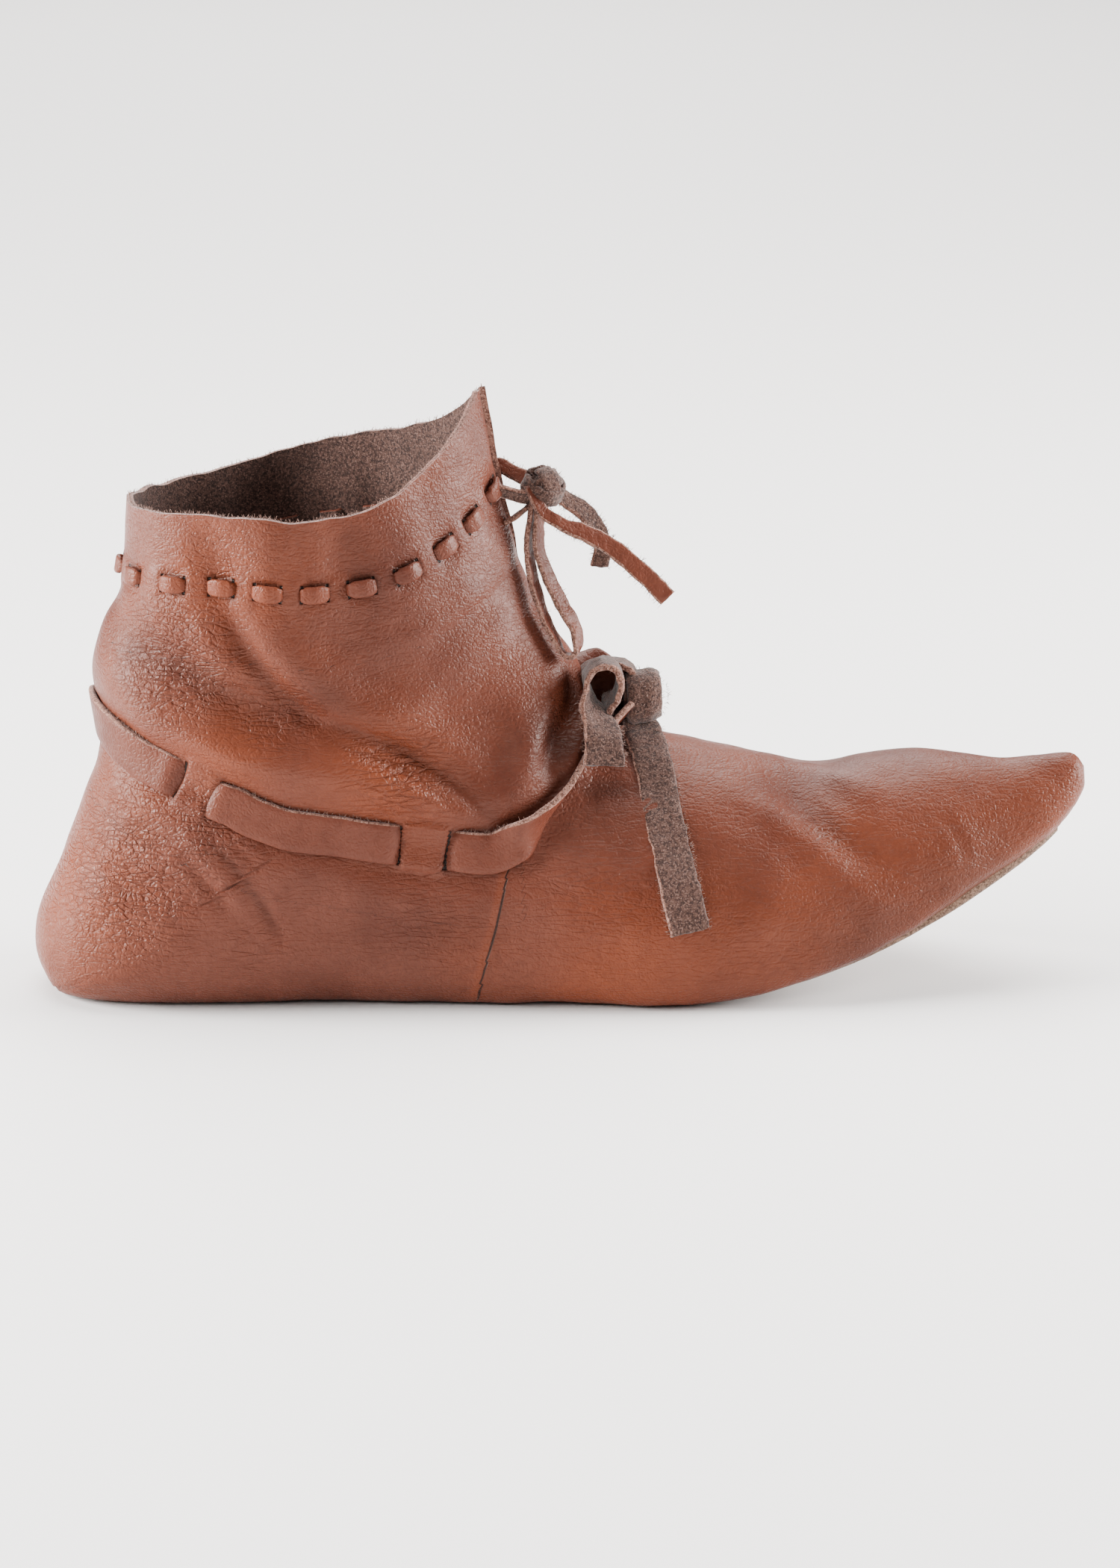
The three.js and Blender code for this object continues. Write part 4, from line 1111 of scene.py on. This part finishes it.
# Bands on the upper
def makeStrap():
    band = bands["strap"]
    count = int(band["along"][-1] / 0.0012)
    along = np.linspace(0, band["along"][-1], count)
    at = np.interp(along, band["along"], band["places"][:, 0])
    angle = np.interp(along, band["along"], band["places"][:, 1])
    depth = np.interp(along, band["along"], band["depth"]) / mm
    shown = smoothStep(depth, -1.6, 0.5)
    wall = lastSizes["wall"]
    half = ankleStrap["thickness"] / 2
    proud = ankleStrap["heelLift"] * smoothStep(upperPoint(at, angle)[:, 0], -0.105, -0.122)
    lift = shown * (ankleStrap["lift"] + half + proud) + (1 - shown) * -(wall + half + 0.0004)
    over, normal = reliefPoint(at, angle, lift)
    up = np.stack([np.interp(along, band["along"], band["up"][:, axis]) for axis in range(3)], axis=1)
    # The front stretches leave the leather and rise to the knot
    first = int(np.argmax(over[:, 0] < ankleStrap["nearFrom"]))
    last = len(along) - int(np.argmax(along > 0.0245))
    near = ankleStrap["nearEnd"][::-1]
    far = ankleStrap["farEnd"]
    middles = np.concatenate([
        np.array([place for place, _, _ in near]) * mm,
        over[first:last:4],
        np.array([place for place, _, _ in far]) * mm,
    ])
    hints = np.concatenate([
        np.array([hint for _, hint, _ in near]),
        up[first:last:4],
        np.array([hint for _, hint, _ in far]),
    ])
    shares = np.concatenate([
        [share for _, _, share in near],
        np.ones(len(over[first:last:4])),
        [share for _, _, share in far],
    ])
    line, places = smoothRoute(middles, 0.0011)
    across = levelled(line, smoothBetween(hints, places))
    width = ankleStrap["width"] * smoothBetween(shares[:, None], places)[:, 0]
    width = width * (1 + softened(line, 0.012, 0.05, 8))
    rings = ribbonRings(line, across, width, ankleStrap["thickness"], 6)
    shownOut = (line + across * width[:, None] / 2)[np.abs(line[:, 1]) > 0.012]
    edges["strap"] = [(shownOut, np.tile(np.array([0.0, 0, 1]), (len(shownOut), 1)))]
    flat = rings.reshape(-1, 3)
    flat += (softened(flat, 0.006, 0.0002, 9))[:, None] * np.array([0, 0, 1])
    strap = gridPiece("woven_strap", rings, ribbonSlots(6, 0, 1, 2, 0), True, True)
    for material in (bandGrain, bandEdge, suede):
        strap.data.materials.append(material)
    return strap


def makeThong():
    band = bands["thong"]
    count = int(band["along"][-1] / 0.00045)
    along = np.linspace(0, band["along"][-1], count)
    at = np.interp(along, band["along"], band["places"][:, 0])
    angle = np.interp(along, band["along"], band["places"][:, 1])
    depth = np.interp(along, band["along"], band["depth"]) / mm
    half = collarThong["thickness"] / 2
    shown = smoothStep(depth, -0.9, 0.7)
    puffed = collarThong["puff"] * smoothStep(depth, 0, 3.2)
    lift = shown * (half + 0.0002 + puffed) + (1 - shown) * -(lastSizes["wall"] + half + 0.0003)
    over, normal = reliefPoint(at, angle, lift)
    up = np.stack([np.interp(along, band["along"], band["up"][:, axis]) for axis in range(3)], axis=1)
    across = levelled(over, up)
    narrow = 1 - 0.42 * smoothStep(depth, 1.5, -0.5)
    rings = ribbonRings(over, across, collarThong["width"] * 0.92 * narrow, collarThong["thickness"], 4)
    thong = gridPiece("woven_thong", rings, ribbonSlots(4, 0, 0, 2, 0), True, True)
    for material in (bandGrain, bandEdge, suede):
        thong.data.materials.append(material)
    return thong


# Ties: free ribbons through points in millimetres, with a width direction at each point
strapTie = {
    "width": 0.011,
    "thickness": 0.0018,
    "points": [
        ((10.1, -27, 66.2), (1, 0.1, 0.05)),
        ((10.2, -25.4, 70), (1, 0.1, 0.1)),
        ((9.8, -23.2, 74), (0.95, 0.3, 0)),
        ((8.4, -19.4, 78.4), (0.7, 0.75, 0)),
        ((6.9, -16.4, 82.4), (0.25, 1, 0)),
        ((6.2, -15.0, 86.6), (0, 1, 0)),
        ((7.4, -14.6, 90.0), (0, 1, 0)),
        ((10.6, -14.5, 91.7), (0, 1, 0)),
        ((14.0, -14.3, 90.2), (0, 1, 0)),
        ((15.3, -14, 86.6), (0, 1, 0)),
        ((14.6, -13.6, 82.6), (0, 1, 0)),
        ((12.6, -12.0, 79.0), (0, 1, 0)),
        ((12.2, -8.9, 76.2), (0.1, 1, 0.2)),
        ((14.3, -6.6, 74.6), (0.3, 1, 0.3)),
        ((17.6, -6.0, 74.0), (0.4, 0.8, 0.3)),
        ((20.6, -7.6, 72.6), (0.8, 0.4, 0.2)),
        ((22.3, -11.8, 69.8), (1, 0.1, 0.05)),
        ((23.6, -17.0, 65.6), (1, 0, 0.05)),
        ((24.9, -23.0, 59.0), (1, 0, 0.08)),
        ((26.1, -29.0, 51.6), (1, 0, 0.1)),
        ((27.5, -34.4, 44.0), (1, 0, 0.12)),
        ((29.8, -40.6, 34.0), (1, 0, 0.16)),
        ((32.0, -44.0, 23.6), (1, 0, 0.2)),
    ],
}
thongLoop = {
    "points": [
        ((-6.8, -2.6, 134), (0.5, 0.85, 0.1)),
        ((-8.6, -4.6, 126), (0.45, 0.9, 0.1)),
        ((-8.6, -5.8, 119), (0.45, 0.9, 0.1)),
        ((-7.2, -7.8, 111), (0.45, 0.9, 0.1)),
        ((-4.4, -10, 102.6), (0.45, 0.9, 0.1)),
        ((-1.4, -11.8, 96.2), (0.3, 0.95, 0)),
        ((-0.4, -12.3, 94.3), (0.2, 0.97, 0)),
        ((0.9, -12.6, 93.2), (0.05, 1, 0)),
        ((2.5, -12.6, 93.2), (0.1, 1, 0)),
        ((3.7, -12.2, 94.4), (0.3, 0.9, 0.1)),
        ((4.1, -11.7, 96.8), (0.5, 0.8, 0.2)),
        ((3.2, -10.6, 100.6), (0.6, 0.8, 0.2)),
        ((-0.4, -8.8, 107.6), (0.65, 0.75, 0.2)),
        ((-4.0, -6.8, 115), (0.65, 0.75, 0.15)),
        ((-6.2, -5.0, 123.4), (0.6, 0.8, 0.1)),
        ((-5.6, -3.6, 133), (0.5, 0.85, 0.1)),
    ],
}
thongLongEnd = {
    "points": [
        ((-8.6, -4.2, 138.6), (0.8, 0.4, 0.3)),
        ((-7.2, -5.6, 135.2), (0.8, 0.5, 0.4)),
        ((-4.6, -6.6, 131.4), (0.7, 0.5, 0.6)),
        ((0.4, -7, 128.2), (0.35, 0.6, 0.8)),
        ((6, -7, 126.0), (0.25, 0.6, 0.85)),
        ((12.2, -7.5, 122.9), (0.4, 0.5, 0.8)),
        ((17.4, -8.5, 119.0), (0.5, 0.35, 0.8)),
        ((23, -9.5, 113.8), (0.6, 0.25, 0.75)),
        ((28.4, -10.5, 108.2), (0.7, 0.15, 0.7)),
    ],
}
thongShortEnd = {
    "points": [
        ((-3.4, 0.6, 136.8), (0, 0.6, 0.8)),
        ((1.6, 2, 133.4), (0.2, 0.6, 0.8)),
        ((6.3, 3, 130), (0.4, 0.5, 0.7)),
        ((9.9, 4, 126), (0.7, 0.4, 0.5)),
        ((11.7, 5, 121.4), (0.9, 0.2, 0.3)),
        ((11.9, 5.6, 117.4), (1, 0.1, 0.1)),
        ((11.4, 6, 113.6), (1, 0, 0.1)),
    ],
}


def makeTie(name, tie, width, thickness, slots, ragged, seed, narrowStart=1.0):
    points = [np.array(point) * mm for point, _ in tie["points"]]
    hints = np.array([hint for _, hint in tie["points"]], float)
    line, places = smoothRoute(points, 0.0008)
    across = levelled(line, smoothBetween(hints, places))
    grown = smoothStep(np.linspace(0, 1, len(line)), 0, 0.55)
    widths = width * 0.97 * (narrowStart + (1 - narrowStart) * grown)
    rings = ribbonRings(line, across, widths, thickness, 6)
    flat = rings.reshape(-1, 3)
    push = np.stack([softened(flat, 0.0016, ragged, seed + axis) for axis in range(3)], axis=1)
    push += np.stack([softened(flat, 0.005, ragged * 1.6, seed + 4 + axis) for axis in range(3)], axis=1)
    flat += push
    rings[:, -1] = rings[:, 0]
    edges[name] = [(line + way * across * widths[:, None] / 2, way * across) for way in (-1, 1)]
    piece = gridPiece(name, rings, ribbonSlots(6, *slots), True, True)
    for material in (bandGrain, bandEdge, suede):
        piece.data.materials.append(material)
    return piece, line


# Cut edges that fibres stand out from: a line of places and the way out from each
edges = {}


def lengthOf(line):
    return float(np.linalg.norm(np.diff(line, axis=0), axis=1).sum())


# Suede lies outside on the strap's tie, and the grain on the thong's long end
strapEnd, strapLine = makeTie("strap_tie", strapTie, 0.011, 0.0018, (2, 2, 2), 0.00035, 11)
loopPiece, loopLine = makeTie("thong_loop", thongLoop, 0.0046, 0.0014, (0, 0, 0), 0.0002, 21)
longPiece, longLine = makeTie("thong_long_end", thongLongEnd, 0.0052, 0.0014, (2, 1, 0), 0.0002, 31, 0.55)
shortPiece, shortLine = makeTie("thong_short_end", thongShortEnd, 0.005, 0.0014, (2, 2, 2), 0.0003, 41)

# Knots: a few turns of the ribbon round each other, in millimetres
strapKnot = {
    "middle": (21.9, -5.6, 80.2),
    "radius": (6.2, 6.9),
    "width": 0.0096,
    "thickness": 0.0018,
    "turns": 1.35,
}
thongKnot = {
    "middle": (-4.6, -1, 137.6),
}


def coreBlob(bm, middle, size, seed, uneven):
    made = bmesh.ops.create_icosphere(bm, subdivisions=4, radius=0.5)["verts"]
    for vert in made:
        bump = 1 + uneven * noise.noise(vert.co * 3 + Vector((seed, seed, seed)))
        vert.co = Vector([middle[axis] * mm + vert.co[axis] * size[axis] * mm * bump for axis in range(3)])


def makeStrapKnot():
    turns = np.linspace(0.35, 0.35 + strapKnot["turns"], 60) * 2 * math.pi
    grow = np.linspace(0.74, 1, 60)
    middle = np.array(strapKnot["middle"])
    line = np.stack([
        np.linspace(-0.6, 0.6, 60) + middle[0],
        middle[1] + np.cos(turns) * strapKnot["radius"][0] * grow,
        middle[2] + np.sin(turns) * strapKnot["radius"][1] * grow,
    ], axis=1) * mm
    across = levelled(line, np.tile(np.array([1.0, 0.12, 0.1]), (60, 1)))
    rings = ribbonRings(line, across, strapKnot["width"], strapKnot["thickness"], 8)
    flat = rings.reshape(-1, 3)
    flat += np.stack([softened(flat, 0.0018, 0.0004, 51 + axis) for axis in range(3)], axis=1)
    # The open ends of the wrap draw together
    reach = np.abs(flat[:, 0] / mm - middle[0]) / 5
    draw = 1 - 0.16 * smoothStep(reach, 0.5, 1.1)
    flat[:, 1] = middle[1] * mm + (flat[:, 1] - middle[1] * mm) * draw
    flat[:, 2] = middle[2] * mm + (flat[:, 2] - middle[2] * mm) * draw
    rings[:, -1] = rings[:, 0]
    wrap = gridPiece("strap_knot_wrap", rings, ribbonSlots(8, 2, 2, 2, 2), True, True)
    for material in (bandGrain, bandEdge, suede):
        wrap.data.materials.append(material)
    bm = bmesh.new()
    coreBlob(bm, middle + np.array([0.5, 0, 0]), (10.2, 10.6, 11.8), 3, 0.15)
    core = pieceFrom("strap_knot_core", bm)
    core.data.materials.append(suede)
    return wrap, core


knotTurn = {
    "points": [
        ((4.6, 2.5, 83.4), (0.1, 1, 0.1)),
        ((7.2, 0.6, 86.2), (0, 1, 0)),
        ((11.2, -1.2, 88.2), (0, 1, 0)),
        ((15.4, -2.6, 88.6), (0, 1, 0)),
        ((19.0, -4.0, 87.2), (0, 1, 0)),
        ((20.6, -4.8, 84.2), (0, 1, 0)),
    ],
}


def makeThongKnot():
    middle = np.array(thongKnot["middle"])
    bm = bmesh.new()
    coreBlob(bm, middle, (7.6, 6.8, 8.2), 5, 0.3)
    core = pieceFrom("thong_knot_core", bm)
    core.data.materials.append(suede)
    wraps = []
    for index, (tilt, lean, radius) in enumerate(((0.2, 0.5, 4.9), (1.2, -0.4, 5.2), (2.2, 0.2, 4.6))):
        turns = np.linspace(0, 2 * math.pi * 0.96, 48)
        axis = unit(np.array([math.cos(tilt), lean, math.sin(tilt)]))
        first = unit(np.cross(axis, np.array([0, 1.0, 0.2])))
        second = np.cross(axis, first)
        line = (middle + np.cos(turns)[:, None] * first * radius + np.sin(turns)[:, None] * second * radius) * mm
        across = levelled(line, np.tile(axis, (48, 1)))
        rings = ribbonRings(line, across, 0.0048, 0.0014, 4)
        flat = rings.reshape(-1, 3)
        flat += np.stack([softened(flat, 0.0016, 0.0004, 61 + 3 * index + part) for part in range(3)], axis=1)
        rings[:, -1] = rings[:, 0]
        wrap = gridPiece(f"thong_knot_wrap_{index + 1}", rings, ribbonSlots(4, 2, 2, 2, 2), True, True)
        wrap.data.materials.append(bandGrain)
        wrap.data.materials.append(bandEdge)
        wrap.data.materials.append(suede)
        wraps.append(wrap)
    return wraps, core


strapWrap, strapCore = makeStrapKnot()
thongWraps, thongCore = makeThongKnot()
strapTurn, _ = makeTie("strap_knot_turn", knotTurn, 0.009, 0.0018, (2, 2, 2), 0.0003, 91)
print("ties are made")

# The thong's two ends run from their first dashes to the knot
thongLeads = {
    "inner": [
        ((-18.7, -4.2, 137.4), (0, -0.5, 0.8)),
        ((-15.6, -4.6, 137.2), (0, -0.5, 0.8)),
        ((-11.6, -4.2, 135.8), (0, -0.5, 0.8)),
        ((-7.0, -2.6, 134.6), (0, -0.5, 0.8)),
    ],
    "outer": [
        ((-18.8, 5.0, 140.6), (0, 0.5, 0.8)),
        ((-16.4, 5.2, 142.6), (0, 0.5, 0.8)),
        ((-12.4, 3.0, 140.8), (0.1, 0.5, 0.8)),
        ((-7.0, 0.4, 138.8), (0.1, 0.4, 0.8)),
    ],
    "under": [
        ((-17.4, -1.6, 127.4), (0, 1, 0)),
        ((-14.4, -3.2, 128.8), (0, 1, 0)),
        ((-10.4, -3.2, 131.2), (0, 1, 0)),
        ((-6.4, -2.2, 134.0), (0, 1, 0)),
    ],
}
leads = []
for index, (leadName, points) in enumerate(thongLeads.items()):
    slots = (0, 1, 2) if leadName == "inner" else (2, 1, 0)
    leadWidth = 0.003 if leadName == "under" else 0.0042
    lead, _ = makeTie(f"thong_lead_{leadName}", {"points": points}, leadWidth, 0.0014, slots, 0.0002, 71 + 3 * index)
    leads.append(lead)

upper = makeUpper()
print("upper is made")
sole = makeSole()
strap = makeStrap()
thong = makeThong()
print("sole and bands are made")

# Loose fibres along the cut edges of the suede
fuzz = {"perMetre": 2600, "length": (0.0006, 0.0017), "radius": 0.00008, "spread": 0.8}


def makeFuzz():
    bm = bmesh.new()
    places = []
    for name, share in (
        ("strap_tie", 1.0), ("thong_long_end", 0.7), ("thong_short_end", 1.2), ("thong_loop", 0.7),
        ("thong_lead_inner", 0.6), ("thong_lead_outer", 0.6), ("thong_lead_under", 0.6), ("rim", 1.1), ("strap", 0.9),
    ):
        for line, out in edges[name]:
            for _ in range(int(lengthOf(line) * fuzz["perMetre"] * share)):
                index = random.randrange(len(line))
                places.append((line[index], out[index]))
    for middle, radius, count in ((thongKnot["middle"], 5.4, 420), (strapKnot["middle"], 7.4, 160)):
        for _ in range(count):
            out = unit(np.array([random.gauss(0, 1) for _ in range(3)]))
            places.append((np.array(middle) * mm + out * radius * mm, out))
    for place, out in places:
        lean = Vector([random.gauss(0, fuzz["spread"]) for _ in range(3)])
        way = (Vector(out) + lean * 0.6).normalized()
        length = random.uniform(*fuzz["length"])
        turn = way.to_track_quat("Z", "Y").to_matrix().to_4x4()
        turn.translation = Vector(place) + way * length * 0.35
        bmesh.ops.create_cone(
            bm, cap_ends=True, segments=3, radius1=fuzz["radius"], radius2=fuzz["radius"] * 0.4, depth=length, matrix=turn
        )
    piece = pieceFrom("suede_fuzz", bm)
    piece.data.materials.append(looseFibre)
    return piece


# Seam stitches
seamThread = {"count": 15, "length": 0.9, "radius": 0.16, "share": 0.62}


def makeStitches():
    finish = Finish("waxed_thread")
    finish.surface.inputs["Roughness"].default_value = 0.7
    twist = finish.cloud(finish.place(), 2600, 2)
    dark = finish.blend(twist, shade(58, 34, 26), shade(92, 60, 44))
    material = finish.finished(Base_Color=dark, Normal=finish.relief(twist, 0.00006))
    line, _ = smoothRoute(np.array(seamLine, float)[::-1], 0.5)
    bm = bmesh.new()
    for index in range(seamThread["count"]):
        share = (index + 0.6) / seamThread["count"] * seamThread["share"]
        spot = line[int(share * (len(line) - 1))]
        ahead = line[min(int(share * (len(line) - 1)) + 1, len(line) - 1)]
        way = Vector(ahead - spot).normalized()
        turn = way.to_track_quat("Z", "Y").to_matrix()
        made = bmesh.ops.create_uvsphere(bm, u_segments=8, v_segments=6, radius=seamThread["radius"] * mm)["verts"]
        for vert in made:
            vert.co.z *= seamThread["length"] / seamThread["radius"] / 2
            vert.co = turn @ vert.co + Vector(spot) * mm
    for vert in bm.verts:
        vert.co.y -= 0.0001
    stitches = pieceFrom("seam_stitches", bm)
    stitches.data.materials.append(material)
    return stitches


stitches = makeStitches()
loose = makeFuzz()
print("stitches and fibres are made")

# Floor and light
studio = {
    "floor": shade(240, 239, 238),
    "world": (1.0, 0.985, 0.98, 1),
    "worldStrength": 0.16,
    "lamps": [
        {"name": "left", "place": (-1.3, -0.05, 0.5), "aim": (0, 0, 0.07), "size": 0.8, "watts": 80},
        {"name": "right", "place": (1.3, 0.02, 0.5), "aim": (0, 0, 0.07), "size": 0.8, "watts": 66},
        {"name": "front", "place": (-0.5, -1.6, 1.0), "aim": (0, 0, 0.07), "size": 0.6, "watts": 7},
        {"name": "top", "place": (0.0, 0.8, 2.2), "aim": (0, 0.2, 0), "size": 2.4, "watts": 130},
        {"name": "back", "place": (0.0, 3.2, 1.8), "aim": (0, 3.2, 0), "size": 2.4, "watts": 110},
    ],
    "tint": (1, 0.975, 0.96),
}


def makeStudio():
    bm = bmesh.new()
    bmesh.ops.create_grid(bm, x_segments=2, y_segments=2, size=6)
    floor = pieceFrom("floor", bm, False)
    finish = Finish("pale_floor")
    finish.surface.inputs["Roughness"].default_value = 0.9
    finish.surface.inputs["Base Color"].default_value = studio["floor"]
    floor.data.materials.append(finish.material)
    world = bpy.data.worlds.new("studio")
    world.use_nodes = True
    world.node_tree.nodes["Background"].inputs["Color"].default_value = studio["world"]
    world.node_tree.nodes["Background"].inputs["Strength"].default_value = studio["worldStrength"]
    bpy.context.scene.world = world
    for lamp in studio["lamps"]:
        data = bpy.data.lights.new(lamp["name"], "AREA")
        data.shape = "DISK"
        data.size = lamp["size"]
        data.energy = lamp["watts"]
        data.color = studio["tint"]
        light = bpy.data.objects.new(lamp["name"], data)
        light.location = lamp["place"]
        towards = Vector(lamp["aim"]) - Vector(lamp["place"])
        light.rotation_euler = towards.to_track_quat("-Z", "Y").to_euler()
        bpy.context.scene.collection.objects.link(light)


makeStudio()

# What each piece stands for
for piece, slotName, nodes in (
    (upper, "upper_leather", ["upper"]),
    (stitches, "upper_leather", []),
    (loose, "strap_suede", []),
    (sole, "sole_leather", ["sole"]),
    (strap, "strap_leather", ["ankle_strap"]),
    (thong, "strap_leather", ["collar_thong"]),
    (leads[0], "strap_leather", []),
    (leads[1], "strap_leather", []),
    (leads[2], "strap_leather", []),
    (strapEnd, "strap_suede", ["strap_end", "strap_loop"]),
    (strapWrap, "strap_suede", ["strap_knot"]),
    (strapCore, "strap_suede", []),
    (strapTurn, "strap_suede", []),
    (loopPiece, "strap_suede", ["collar_loop"]),
    (longPiece, "strap_suede", ["collar_end_long"]),
    (shortPiece, "strap_suede", ["collar_end_short"]),
    (thongCore, "strap_suede", ["collar_knot"]),
    *((wrap, "strap_suede", []) for wrap in thongWraps),
):
    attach(piece, "root")
    if nodes:
        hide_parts(*nodes)

print("cords:", *(round(lengthOf(line), 4) for line in (strapLine, loopLine, longLine, shortLine)))
